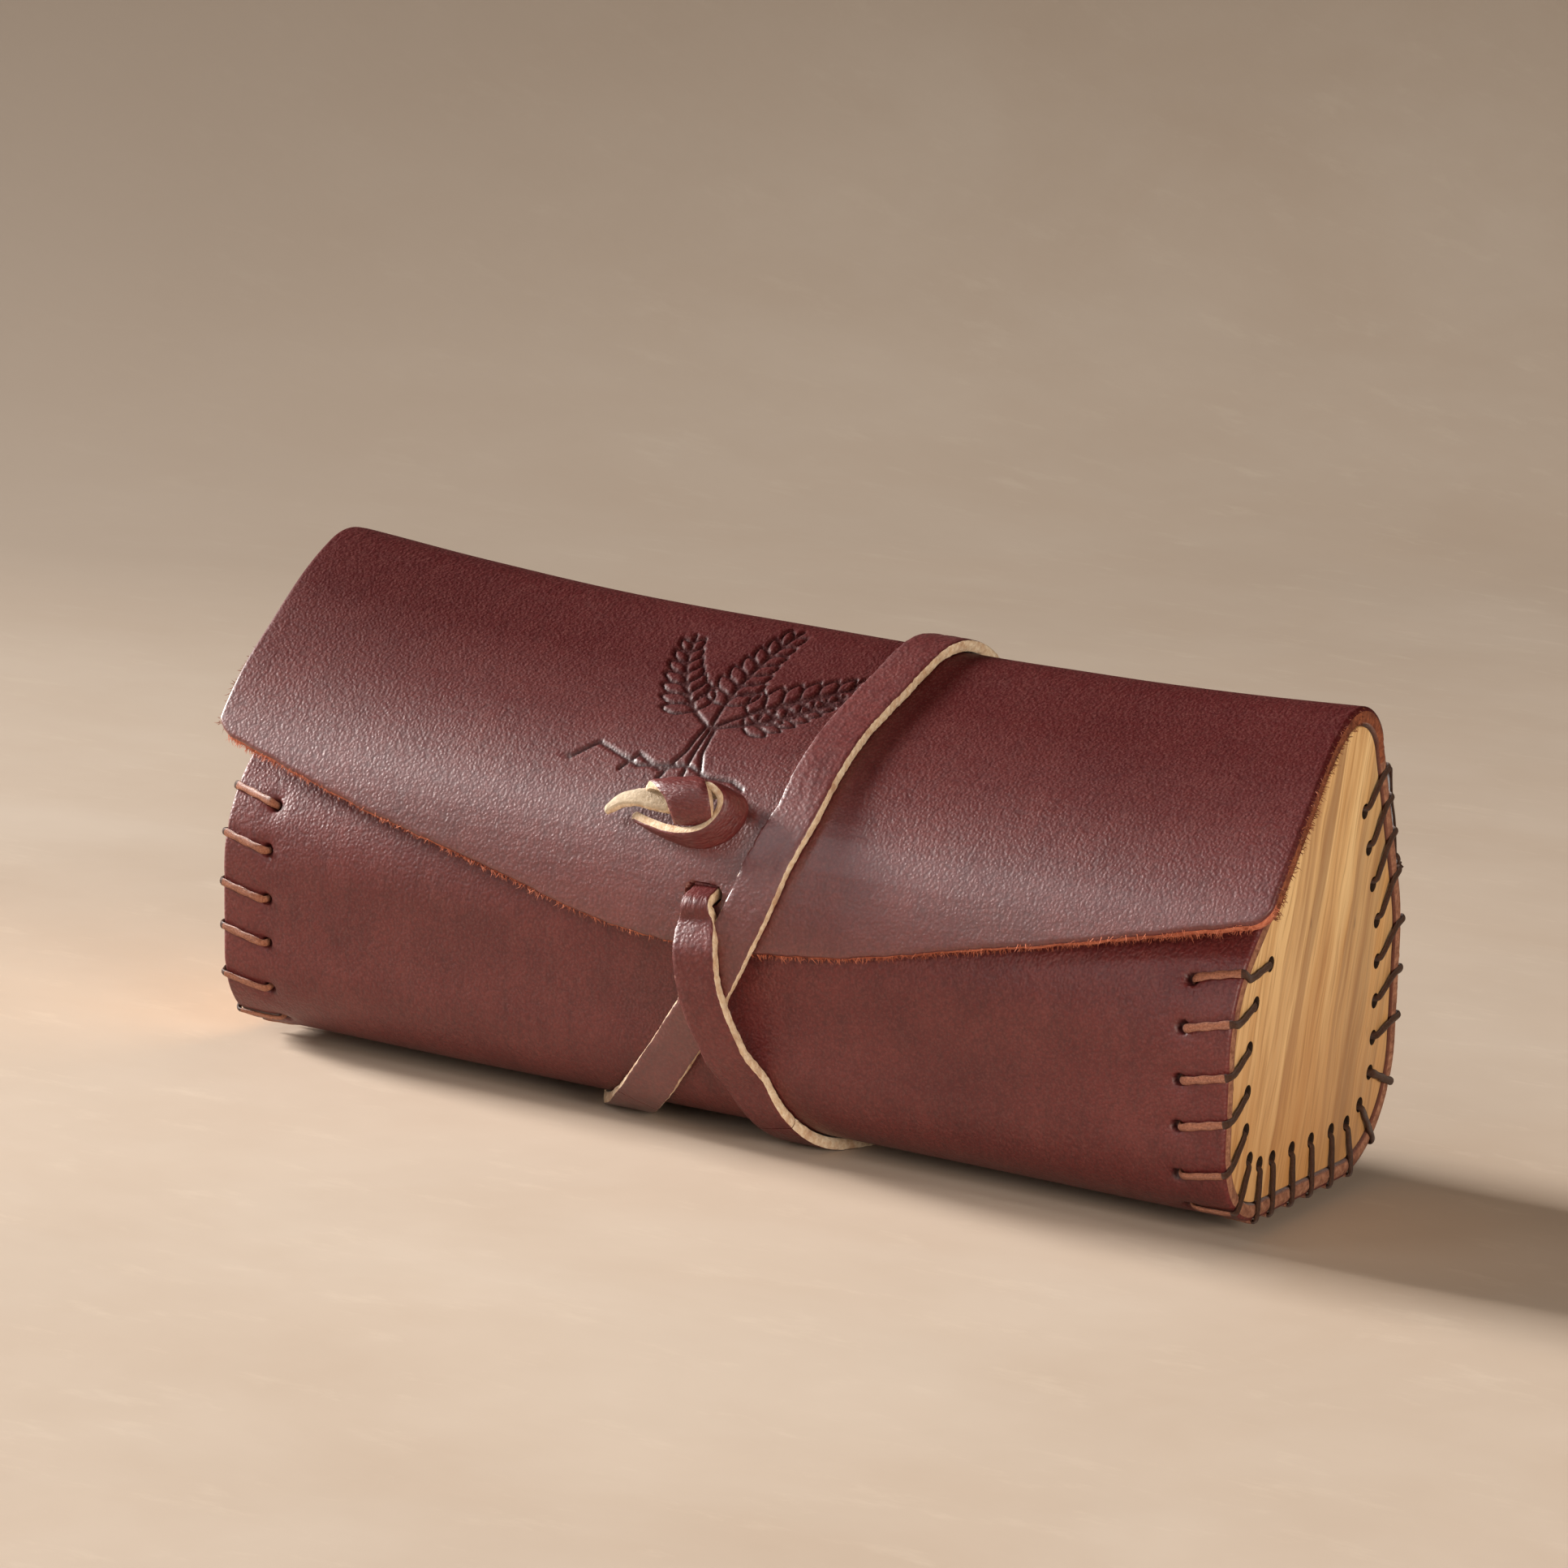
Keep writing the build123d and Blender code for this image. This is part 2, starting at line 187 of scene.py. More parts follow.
def mesh_object(name, vertices, faces, materials, face_materials=None, smooth_angle=40):
    """vertices in mm; faces as index tuples."""
    mesh = bpy.data.meshes.new(name)
    mesh.from_pydata((np.asarray(vertices, float) * MM).tolist(), [], faces)
    for material in materials:
        mesh.materials.append(material)
    if face_materials is not None:
        mesh.polygons.foreach_set("material_index", np.asarray(face_materials, np.int32))
    mesh.polygons.foreach_set("use_smooth", np.ones(len(mesh.polygons), bool))
    mesh.update()
    mesh.set_sharp_from_angle(angle=math.radians(smooth_angle))
    obj = bpy.data.objects.new(name, mesh)
    bpy.context.scene.collection.objects.link(obj)
    return obj


def set_attribute(obj, name, values):
    attribute = obj.data.attributes.new(name, "FLOAT", "POINT")
    attribute.data.foreach_set("value", np.asarray(values, np.float32))


def set_vector(obj, name, values):
    attribute = obj.data.attributes.new(name, "FLOAT_VECTOR", "POINT")
    attribute.data.foreach_set("vector", np.asarray(values, np.float32).ravel())


# --- materials ---


class Nodes:
    """A small helper that makes and links shader nodes."""

    def __init__(self, name):
        self.material = bpy.data.materials.new(name)
        self.material.use_nodes = True
        self.tree = self.material.node_tree
        self.tree.nodes.clear()
        output = self.tree.nodes.new("ShaderNodeOutputMaterial")
        self.shader = self.tree.nodes.new("ShaderNodeBsdfPrincipled")
        self.tree.links.new(self.shader.outputs[0], output.inputs["Surface"])

    def put(self, socket, value):
        """Links a socket, or sets a value; a plain colour gets its alpha."""
        if isinstance(value, bpy.types.NodeSocket):
            self.tree.links.new(value, socket)
        elif socket.type == "RGBA":
            socket.default_value = (*value, 1.0)
        else:
            socket.default_value = value

    def new(self, kind, settings=(), **sockets):
        """A node with its settings, and links or values for its sockets by name."""
        node = self.tree.nodes.new("ShaderNode" + kind)
        for key, value in dict(settings).items():
            setattr(node, key, value)
        for key, value in sockets.items():
            self.put(node.inputs[key.replace("_", " ")], value)
        return node

    def coords(self, scale=(1, 1, 1), rotation=(0, 0, 0), attribute=None):
        if attribute:
            source = self.new("Attribute", {"attribute_name": attribute}).outputs["Vector"]
        else:
            source = self.new("TexCoord").outputs["Object"]
        return self.new("Mapping", Vector=source, Scale=scale, Rotation=rotation).outputs["Vector"]

    def axes(self, vector):
        return self.new("SeparateXYZ", Vector=vector).outputs

    def attribute(self, name):
        return self.new("Attribute", {"attribute_name": name}).outputs["Fac"]

    def noise(self, vector, scale, detail=4.0, roughness=0.55, distortion=0.0):
        values = {"Scale": scale, "Detail": detail, "Roughness": roughness, "Distortion": distortion}
        return self.new("TexNoise", Vector=vector, **values).outputs["Fac"]

    def voronoi(self, vector, scale, feature="F1", output="Distance"):
        return self.new("TexVoronoi", {"feature": feature}, Vector=vector, Scale=scale).outputs[output]

    def spread(self, value, low, high, to_low=0.0, to_high=1.0):
        limits = {"From_Min": low, "From_Max": high, "To_Min": to_low, "To_Max": to_high}
        return self.new("MapRange", Value=value, **limits).outputs["Result"]

    def math(self, operation, a, b=0.0, clamp=False):
        node = self.new("Math", {"operation": operation, "use_clamp": clamp})
        self.put(node.inputs[0], a)
        self.put(node.inputs[1], b)
        return node.outputs[0]

    def mix(self, factor, a, b):
        node = self.new("Mix", {"data_type": "RGBA"}, Factor=factor)
        self.put(node.inputs[6], a)
        self.put(node.inputs[7], b)
        return node.outputs[2]

    def bump(self, height, strength, distance, **normal):
        values = {"Strength": strength, "Distance": distance, **normal}
        return self.new("Bump", Height=height, **values).outputs["Normal"]

    def finish(self, colour, roughness, normal, **sockets):
        looks = {"Base_Color": colour, "Roughness": roughness, "Normal": normal, **sockets}
        for name, value in looks.items():
            self.put(self.shader.inputs[name.replace("_", " ")], value)
        return self.material


def darker(colour, share):
    return tuple(channel * share for channel in colour)


def grain_leather(name, fine=1.0):
    """Burgundy hide, grain side. The "hide" attribute holds the place on the flat hide, in metres."""
    n = Nodes(name)
    flat = n.coords(attribute="hide")
    cloud = n.noise(flat, 22.0, 5.0, 0.6)
    patch = n.noise(flat, 85.0, 4.0, 0.6)
    streak = n.noise(n.coords(scale=(1, 0.22, 1), attribute="hide"), 420.0, 4.0, 0.6)
    grit = n.noise(flat, 2100.0 * fine, 3.0, 0.65)
    pebble = n.voronoi(flat, 1900.0 * fine, "SMOOTH_F1")
    colour = n.mix(n.spread(cloud, 0.3, 0.7), (0.094, 0.0090, 0.0096), (0.142, 0.0165, 0.0158))
    colour = n.mix(n.spread(patch, 0.35, 0.75, 0.0, 0.5), colour, (0.195, 0.040, 0.034))
    colour = n.mix(n.spread(streak, 0.50, 0.75, 0.0, 0.45), colour, (0.060, 0.008, 0.009))
    pores = n.spread(pebble, 0.15, 0.75)
    colour = n.mix(n.math("MULTIPLY", pores, 0.50), colour, (0.045, 0.006, 0.008))
    scuff = n.spread(n.noise(flat, 800.0, 4.0, 0.75), 0.60, 0.74, 0.0, 0.20)
    colour = n.mix(scuff, colour, (0.30, 0.115, 0.085))
    # painted shade: the hide's colour is darkened in a band over the fold at the top of the flap, which the
    # lamps barely reach; the same band is also rougher and less glossy
    along = n.axes(flat)["Y"]
    fold = n.math("MULTIPLY", n.spread(along, 0.215, 0.235), n.spread(along, 0.295, 0.255))
    colour = n.mix(n.math("MULTIPLY", fold, 0.68), colour, (0.042, 0.0040, 0.0045))
    # painted shade: the stitch holes and the slot are darkened to stand in for the shade inside them; the
    # ornament's pressed lines keep a real darker tooling tone
    pressed_and_shaded = n.attribute("pressed_and_shaded")
    colour = n.mix(n.math("MULTIPLY", pressed_and_shaded, 0.80, clamp=True), colour, (0.022, 0.003, 0.004))
    # light specks in the grain, painted in part as tiny glints of light on the pebbles
    speck_and_glint = n.spread(n.voronoi(flat, 3200.0 * fine, "F1", "Color"), 0.58, 0.72, 0.0, 0.09)
    colour = n.mix(speck_and_glint, colour, (0.32, 0.135, 0.115))
    height = n.math("ADD", n.math("MULTIPLY", pores, -0.75), n.math("MULTIPLY", grit, 0.9))
    fine_normal = n.bump(height, 0.52, 0.00022)
    creases = n.bump(streak, 0.20, 0.00035, Normal=fine_normal)
    roughness = n.spread(n.noise(flat, 260.0, 3.0, 0.6), 0.3, 0.7, 0.40, 0.50)
    roughness = n.math("ADD", roughness, n.math("MULTIPLY", fold, 0.18))
    # the flap's lower part is handled most and has the strongest shine
    worn = n.spread(along, 0.262, 0.300, 0.12, 1.0)
    shine = n.spread(fold, 0.0, 1.0, 0.5, 0.08)
    coat = {"Coat_Weight": worn, "Coat_Roughness": 0.38}
    return n.finish(colour, roughness, creases, Specular_IOR_Level=shine, **coat)


def cut_edge(name, light, dark, deep):
    n = Nodes(name)
    place = n.coords()
    fibres = n.noise(place, 900.0, 4.0, 0.7)
    lumps = n.noise(place, 260.0, 3.0, 0.6)
    colour = n.mix(n.spread(fibres, 0.35, 0.68), dark, light)
    colour = n.mix(n.spread(lumps, 0.50, 0.72, 0.0, 0.7), colour, deep)
    height = n.math("ADD", fibres, lumps)
    return n.finish(colour, 0.82, n.bump(height, 0.7, 0.0006), Specular_IOR_Level=0.3)


def flesh_side(name, light, dark):
    n = Nodes(name)
    place = n.coords()
    nap = n.noise(place, 1400.0, 4.0, 0.7)
    cloud = n.noise(place, 90.0, 4.0, 0.6)
    colour = n.mix(n.spread(cloud, 0.3, 0.7), dark, light)
    colour = n.mix(n.spread(nap, 0.45, 0.8, 0.0, 0.5), colour, darker(dark, 0.5))
    return n.finish(colour, 0.92, n.bump(nap, 0.6, 0.0005), Sheen_Weight=0.25, Sheen_Roughness=0.5)


def olive_wood(name):
    n = Nodes(name)
    lean = n.axes(n.coords(rotation=(math.radians(9), 0, 0)))
    warp = n.noise(n.coords(scale=(1, 1, 0.35)), 28.0, 3.0, 0.5)
    across = n.math("ADD", lean["Y"], n.math("MULTIPLY", warp, 0.020))
    depth = n.math("MULTIPLY", lean["X"], 0.10)
    grain = n.new("CombineXYZ", X=depth, Y=across, Z=n.math("MULTIPLY", lean["Z"], 0.045)).outputs[0]
    rings = n.noise(grain, 260.0, 5.0, 0.55)
    veins = n.noise(grain, 95.0, 3.0, 0.6)
    fine = n.noise(grain, 1300.0, 3.0, 0.6)
    colour = n.mix(n.spread(rings, 0.34, 0.64), (0.62, 0.335, 0.120), (0.95, 0.660, 0.320))
    colour = n.mix(n.spread(veins, 0.54, 0.66, 0.0, 0.75), colour, (0.44, 0.205, 0.070))
    threads = n.noise(grain, 170.0, 2.0, 0.5)
    colour = n.mix(n.spread(threads, 0.58, 0.68, 0.0, 0.6), colour, (0.26, 0.105, 0.034))
    # painted shade: the plate is darkened towards its bottom, where less light falls on it
    colour = n.mix(n.spread(lean["Z"], 0.055, 0.012, 0.0, 0.60), colour, (0.50, 0.215, 0.065))
    edge = n.spread(across, 0.010, 0.026, 0.0, 1.0)
    dark_vein = n.math("MULTIPLY", n.spread(rings, 0.40, 0.62), edge)
    colour = n.mix(n.math("MULTIPLY", dark_vein, 0.75), colour, (0.26, 0.105, 0.030))
    colour = n.mix(n.spread(fine, 0.50, 0.64, 0.0, 0.50), colour, (0.38, 0.170, 0.055))
    fleck_place = n.coords(scale=(1, 1, 0.3))
    flecks = n.spread(n.voronoi(fleck_place, 210.0), 0.05, 0.11, 1.0, 0.0)
    some = n.spread(n.noise(fleck_place, 60.0, 1.0, 0.5), 0.58, 0.64)
    colour = n.mix(n.math("MULTIPLY", n.math("MULTIPLY", flecks, some), 0.7), colour, (0.16, 0.085, 0.04))
    height = n.math("ADD", fine, n.math("MULTIPLY", rings, 0.6))
    roughness = n.spread(fine, 0.3, 0.7, 0.42, 0.56)
    return n.finish(colour, roughness, n.bump(height, 0.25, 0.0002), Coat_Weight=0.08, Coat_Roughness=0.35)


def waxed_thread(name, light, dark):
    """Flat waxed thread: the "ply" attribute runs along and round the thread."""
    n = Nodes(name)
    ply = n.coords(attribute="ply")
    wave = n.new("TexWave", {"bands_direction": "DIAGONAL"}, Vector=ply, Scale=1.0, Distortion=1.5)
    twist = wave.outputs["Fac"]
    fibres = n.noise(n.coords(), 2600.0, 3.0, 0.7)
    colour = n.mix(n.spread(fibres, 0.32, 0.68), dark, light)
    colour = n.mix(n.spread(twist, 0.0, 0.4, 0.55, 0.0), colour, darker(dark, 0.4))
    height = n.math("ADD", twist, n.math("MULTIPLY", fibres, 0.5))
    return n.finish(colour, 0.48, n.bump(height, 0.6, 0.0003), Specular_IOR_Level=0.5)


leather = grain_leather("hide_grain")
thong_leather = grain_leather("thong_grain", 0.8)
hide_cut = cut_edge("hide_cut", (0.34, 0.105, 0.045), (0.15, 0.038, 0.018), (0.08, 0.018, 0.010))
# the flap's lower cut edge and its fibres: the raw edge's own rust colour, painted lighter than the other cut
# edges to stand in for the key light it catches
flap_cut_painted_light = cut_edge("flap_cut_painted_light", (0.70, 0.25, 0.145), (0.42, 0.110, 0.058), (0.20, 0.040, 0.022))
end_cut = cut_edge("hide_end_cut", (0.42, 0.20, 0.12), (0.20, 0.075, 0.042), (0.11, 0.035, 0.022))
thong_cut = cut_edge("thong_cut", (0.80, 0.66, 0.49), (0.58, 0.39, 0.24), (0.36, 0.17, 0.09))
hide_flesh = flesh_side("hide_flesh", (0.20, 0.065, 0.035), (0.11, 0.030, 0.018))
thong_flesh = flesh_side("thong_flesh", (0.62, 0.50, 0.36), (0.42, 0.31, 0.20))
wood = olive_wood("olive_wood")
thread_dark = waxed_thread("thread", (0.12, 0.050, 0.028), (0.045, 0.018, 0.011))
thread_light = waxed_thread("thread_over_hide", (0.60, 0.245, 0.140), (0.27, 0.085, 0.045))
# painted shade: near-black walls for the end plates' drilled holes stand in for the shade inside them
hole_wall_shade = cut_edge("drilled_hole_shade", (0.045, 0.022, 0.010), (0.022, 0.010, 0.006), (0.012, 0.006, 0.004))

# --- the hide ---

APEX_ARC_START = plate_loop.s[1 + 60 * (len(PLATE_CIRCLES) - 1)]
SEAM = APEX_ARC_START - 3.0
PANEL_TOP = plate_loop.s[1] - 9.0
FOLD_ANGLE = 395.0


class Section:
    """The hide's inner face round the case and over the flap, as tables like a Loop's."""

    def __init__(self):
        fold = plate_loop.of_angle(FOLD_ANGLE)
        s_case = np.concatenate((np.linspace(PANEL_TOP, SEAM, 400), np.linspace(SEAM, fold, 60)[1:]))
        y, z, angle = plate_loop.at(s_case)
        lift = 0.4 * smooth(386, 395, np.degrees(angle))
        y = y + lift * np.cos(angle)
        z = z + lift * np.sin(angle)
        s_flap = np.linspace(flap_loop.of_angle(FOLD_ANGLE - 360) + 0.1, flap_loop.of_angle(215), 500)
        flap_y, flap_z, flap_angle = flap_loop.at(s_flap)
        self.y = np.concatenate((y, flap_y))
        self.z = np.concatenate((z, flap_z))
        self.angle = np.concatenate((np.degrees(angle), np.degrees(flap_angle) + 360))
        steps = np.hypot(np.diff(self.y), np.diff(self.z))
        self.s = PANEL_TOP + np.concatenate(([0.0], np.cumsum(steps)))

    at = Loop.at


hide = Section()


def flap_edge_z(x):
    """Height of the flap's lower edge, seen from the front."""
    dx = np.abs(x - FLAP_TIP_X)
    run = np.where(x < FLAP_TIP_X, FLAP_HALF + FLAP_TIP_X, FLAP_HALF - FLAP_TIP_X)
    slope = (FLAP_SIDE_Z - FLAP_POINT_Z) / run
    line = FLAP_POINT_Z + slope * dx
    reach = FLAP_TIP_RADIUS * np.sin(np.arctan(slope))
    centre = FLAP_POINT_Z + FLAP_TIP_RADIUS * np.sqrt(1 + slope**2)
    arc = centre - np.sqrt(FLAP_TIP_RADIUS**2 - np.minimum(dx, reach) ** 2)
    return np.where(dx < reach, arc, line)


def flap_edge_s(x):
    """Distance along the section at which the flap ends."""
    s = np.linspace(hide.s[-1] - 75, hide.s[-1], 600)
    y, z, _ = hide.at(s, HIDE / 2)
    return np.interp(-flap_edge_z(x), -z, s)


def half_length(s, side):
    """The flap is as long as the case at the seam and flares past the fold, at once on the left and
    lower down on the right."""
    left = smooth(SEAM + 1, SEAM + 14, s)
    right = smooth(SEAM + 20, SEAM + 60, s)
    return CASE_HALF + (FLAP_HALF - CASE_HALF) * np.where(np.asarray(side) < 0, left, right)


def spacing(*spans):
    """Joined stretches of evenly spaced numbers: (from, to, step)."""
    values = []
    for low, high, step in spans:
        count = max(1, round((high - low) / step))
        values.extend(np.linspace(low, high, count + 1)[:-1])
    values.append(spans[-1][1])
    return np.array(values)


def edge_drop(distance, radius):
    """How far a rounded corner has fallen at a distance from its edge."""
    inside = np.clip(radius - distance, 0, radius)
    return radius - np.sqrt(radius**2 - inside**2)


def slab(name, layers, materials, face_kinds, wall_kinds, walls, bulge, roughness, angle, flipped=False):
    """A thick sheet: layers are grids of places outside, inside and half way. The cut walls round it have
    rings of their own. face_kinds are for outside and inside, wall_kinds for each place round the rim.
    roughness is a function of a ring's places and number; flipped turns every face over."""
    outer, inner, flat = (layer.reshape(-1, 3) for layer in layers)
    rows, columns = layers[0].shape[:2]
    count = rows * columns
    grid = np.arange(count).reshape(rows, columns)
    a, b, c, d = (grid[:-1, :-1], grid[:-1, 1:], grid[1:, 1:], grid[1:, :-1])
    up = np.stack((a, d, c, b), -1).reshape(-1, 4)
    down = np.stack((a, b, c, d), -1).reshape(-1, 4) + count
    rim = np.concatenate((grid[0, :-1], grid[:-1, -1], grid[-1, :0:-1], grid[:0:-1, 0]))
    inward = np.concatenate((grid[1, :-1], grid[:-1, -2], grid[-2, :0:-1], grid[:0:-1, 1]))
    away = unit(flat[rim] - flat[inward])
    rings, extra = [rim], []
    for k in range(1, walls + 1):
        share = k / (walls + 1)
        places = outer[rim] * (1 - share) + inner[rim] * share
        swell = bulge * math.sin(math.pi * share) + roughness(places, k)
        extra.append(places + away * swell[:, None])
        rings.append(np.arange(len(rim)) + 2 * count + (k - 1) * len(rim))
    rings.append(rim + count)
    sides = [np.stack((f, np.roll(f, -1), np.roll(g, -1), g), -1) for f, g in zip(rings, rings[1:])]
    vertices = np.concatenate((outer, inner, *extra))
    faces = np.concatenate((up, down, *sides))
    if flipped:
        faces = faces[:, ::-1]
    kinds = np.concatenate((np.repeat(face_kinds, len(up)), np.tile(wall_kinds, walls + 1)))
    return mesh_object(name, vertices, faces.tolist(), materials, kinds, angle)


def set_hide(obj, places, pressed_and_shaded=None):
    """The leather's own coordinates, in mm on the flat hide, and how deeply it is pressed, for the first
    vertices; the rest get none. The pressing also darkens the colour: a real tooling tone on the
    ornament, painted shade in the stitch holes and the slot."""
    count = len(obj.data.vertices)
    hide_places = np.zeros((count, 3))
    hide_places[:len(places)] = places
    set_vector(obj, "hide", hide_places * MM)
    depth = np.zeros(count)
    if pressed_and_shaded is not None:
        depth[:pressed_and_shaded.size] = pressed_and_shaded.ravel()
    set_attribute(obj, "pressed_and_shaded", depth)


def strip(name, x, s, materials, relief_out, relief_in, pressed_and_shaded, rough=0.16, wall_kinds=(2, 2, 2, 2)):
    """A piece of hide on the section: x and s are (rows, columns) grids in mm. Wall kinds are for the
    first row, last column, last row and first column."""
    rows, columns = x.shape
    y, z, angle = hide.at(s)
    middle = np.stack((x, y, z), -1)
    normal = outwards(angle)
    outer = settled(middle + normal * (HIDE + relief_out)[..., None])
    inner = settled(middle + normal * relief_in[..., None])
    kinds = np.repeat(wall_kinds, (columns - 1, rows - 1, columns - 1, rows - 1))

    def roughness(places, k):
        return soft_noise(places, 0.9, k) * rough + soft_noise(places, 3.0, k + 9) * rough

    obj = slab(name, (outer, inner, middle), materials, (0, 1), kinds, 3, 0.22, roughness, 50)
    flat_place = np.stack((x, s, np.zeros_like(x)), -1).reshape(-1, 3)
    set_hide(obj, np.concatenate((flat_place, flat_place + (0, 0, HIDE))), pressed_and_shaded)
    return obj


def nearest_on_hide(y, z, after=-math.inf):
    """Distance along the section, past a given one, of the place on the grain side nearest to (y, z)."""
    angle = np.radians(hide.angle)
    gaps = np.hypot(hide.y + HIDE * np.cos(angle) - y, hide.z + HIDE * np.sin(angle) - z)
    return float(hide.s[int(np.argmin(np.where(hide.s > after, gaps, math.inf)))])


def hole_place(k, side):
    """(x, distance along the section) of a stitch's hole in the hide."""
    y, z, _ = hide_loop.at(HIDE_HOLES[k])
    return side * (CASE_HALF - HIDE_HOLE_INSET), nearest_on_hide(y, z)


def waviness(x, s, amount):
    points = np.stack((x, s, np.zeros_like(x)), -1).reshape(-1, 3)
    broad = soft_noise(points * (1, 1.6, 1), 46.0, 2.0) + 0.35 * soft_noise(points, 17.0, 5.0)
    return (broad * amount).reshape(x.shape)


def body_sheet():
    # columns are close at the two ends and round the stitch holes
    edge, holes, plain = -CASE_HALF + 1.2, -96.2, -89.6
    side_columns = spacing((-CASE_HALF, edge, 0.2), (edge, holes, 0.8), (holes, plain, 0.33))
    columns = np.concatenate((side_columns, spacing((-89.2, 89.2, 2.1)), -side_columns[::-1]))
    rows = spacing((PANEL_TOP, PANEL_TOP + 1.2, 0.2), (PANEL_TOP + 1.2, SEAM, 0.42))
    s, x = np.meshgrid(rows, columns, indexing="ij")
    relief = waviness(x, s, 0.18) * smooth(0, 14, CASE_HALF - np.abs(x)) * smooth(SEAM, SEAM - 12, s)
    pressed_and_shaded = np.zeros_like(x)
    for side in (-1, 1):
        for k in range(len(HIDE_HOLES)):
            hole_x, hole_s = hole_place(k, side)
            away = np.hypot(x - hole_x, (s - hole_s) * 1.15)
            relief = relief - 0.55 * np.exp(-((away / 2.4) ** 2)) - 1.3 * (1 - smooth(0.75, 1.35, away))
            # painted shade: the hole is marked for a dark colour that stands in for its shaded inside
            pressed_and_shaded = np.maximum(pressed_and_shaded, 1 - smooth(0.9, 1.5, away))
            # the thread lies in a shallow groove from the hole to the edge
            lean = STITCH_SLANT[k] * np.clip(side * (x - hole_x) / HIDE_HOLE_INSET, 0, 1)
            groove = np.exp(-(((s - hole_s + lean) / 0.9) ** 2)) * smooth(0, 0.5, side * (x - hole_x))
            relief = relief - 0.28 * groove
    edge = np.minimum(CASE_HALF - np.abs(x), s - PANEL_TOP)
    relief = relief - edge_drop(edge, 0.7)
    obj = strip(
        "hide_round_case", x, s, [leather, hide_flesh, hide_cut, end_cut],
        relief, edge_drop(edge, 0.3) * 0.6, pressed_and_shaded, wall_kinds=(2, 3, 2, 3),
    )
    return obj, SEAM - PANEL_TOP


case_sheet, case_length = body_sheet()


# --- the flap ---

# the pressed ornament: a generic branch of leaves, drawn in mm on the flat hide, round its own centre
BRANCH_X = -11.0
BRANCH_S = 262.0
BRANCH_SCALE = 1.25


def sprig(root, heading, length, bend):
    """A bent stem with pairs of leaves, as (points, half width) strokes."""
    strokes, stem = [], []
    for u in np.linspace(0, 1, 30):
        turn = heading + bend * u
        stem.append((root[0] + length * u * math.cos(turn), root[1] + length * u * math.sin(turn)))
    strokes.append((stem, 0.40))
    for k in range(7):
        at = 7 + 3 * k
        foot = stem[at]
        ahead = math.atan2(stem[at + 1][1] - foot[1], stem[at + 1][0] - foot[0])
        size = (5.6 - 0.36 * k) * length / 24
        for side in (-1, 1):
            turn = ahead + side * math.radians(50 - 3 * k)
            for edge in (-1, 1):
                leaf = []
                for u in np.linspace(0.05, 1, 12):
                    bow = edge * 0.24 * size * math.sin(math.pi * u) ** 0.8
                    leaf.append((
                        foot[0] + size * u * math.cos(turn) - bow * math.sin(turn),
                        foot[1] + size * u * math.sin(turn) + bow * math.cos(turn),
                    ))
                strokes.append((leaf, 0.27))
    return strokes


def ornament():
    """Three sprigs and two roots that share one foot."""
    strokes = []
    for degrees, length, bend in ((148, 23, -0.45), (100, 24, -0.30), (52, 25, -0.25), (20, 20, 0.30)):
        strokes += sprig((0.0, -7.0), math.radians(degrees), length, bend)
    for spread in (-1.6, 0.0, 1.5):
        strokes.append(([(spread * 0.5, -6.5), (spread * 0.8, -12), (spread * 2.2, -17.5)], 0.34))
    for reach in (-15.0, -8.0, 8.0):
        root = [(0, -14.5), (reach * 0.5, -16.0), (reach, -15.0 - 0.12 * reach), (reach * 1.25, -17.0)]
        strokes.append((root, 0.34))
    return strokes


def stroke_depth(px, py):
    """How deeply the ornament is pressed at points, from 0 to 1."""
    depth = np.zeros_like(px)
    for points, width in ornament():
        for (ax, ay), (bx, by) in zip(points, points[1:]):
            length = max((bx - ax) ** 2 + (by - ay) ** 2, 1e-9)
            t = np.clip(((px - ax) * (bx - ax) + (py - ay) * (by - ay)) / length, 0, 1)
            away = np.hypot(px - ax - t * (bx - ax), py - ay - t * (by - ay))
            depth = np.maximum(depth, 1 - smooth(width * 0.35, width * 1.5, away))
    return depth


SLOT_X = 0.0


SLOT_HALF = 2.1
slot_y, slot_z, _ = thong_loop.at(62.2, -STRAP / 2)
SLOT_S = nearest_on_hide(slot_y, slot_z, SEAM)


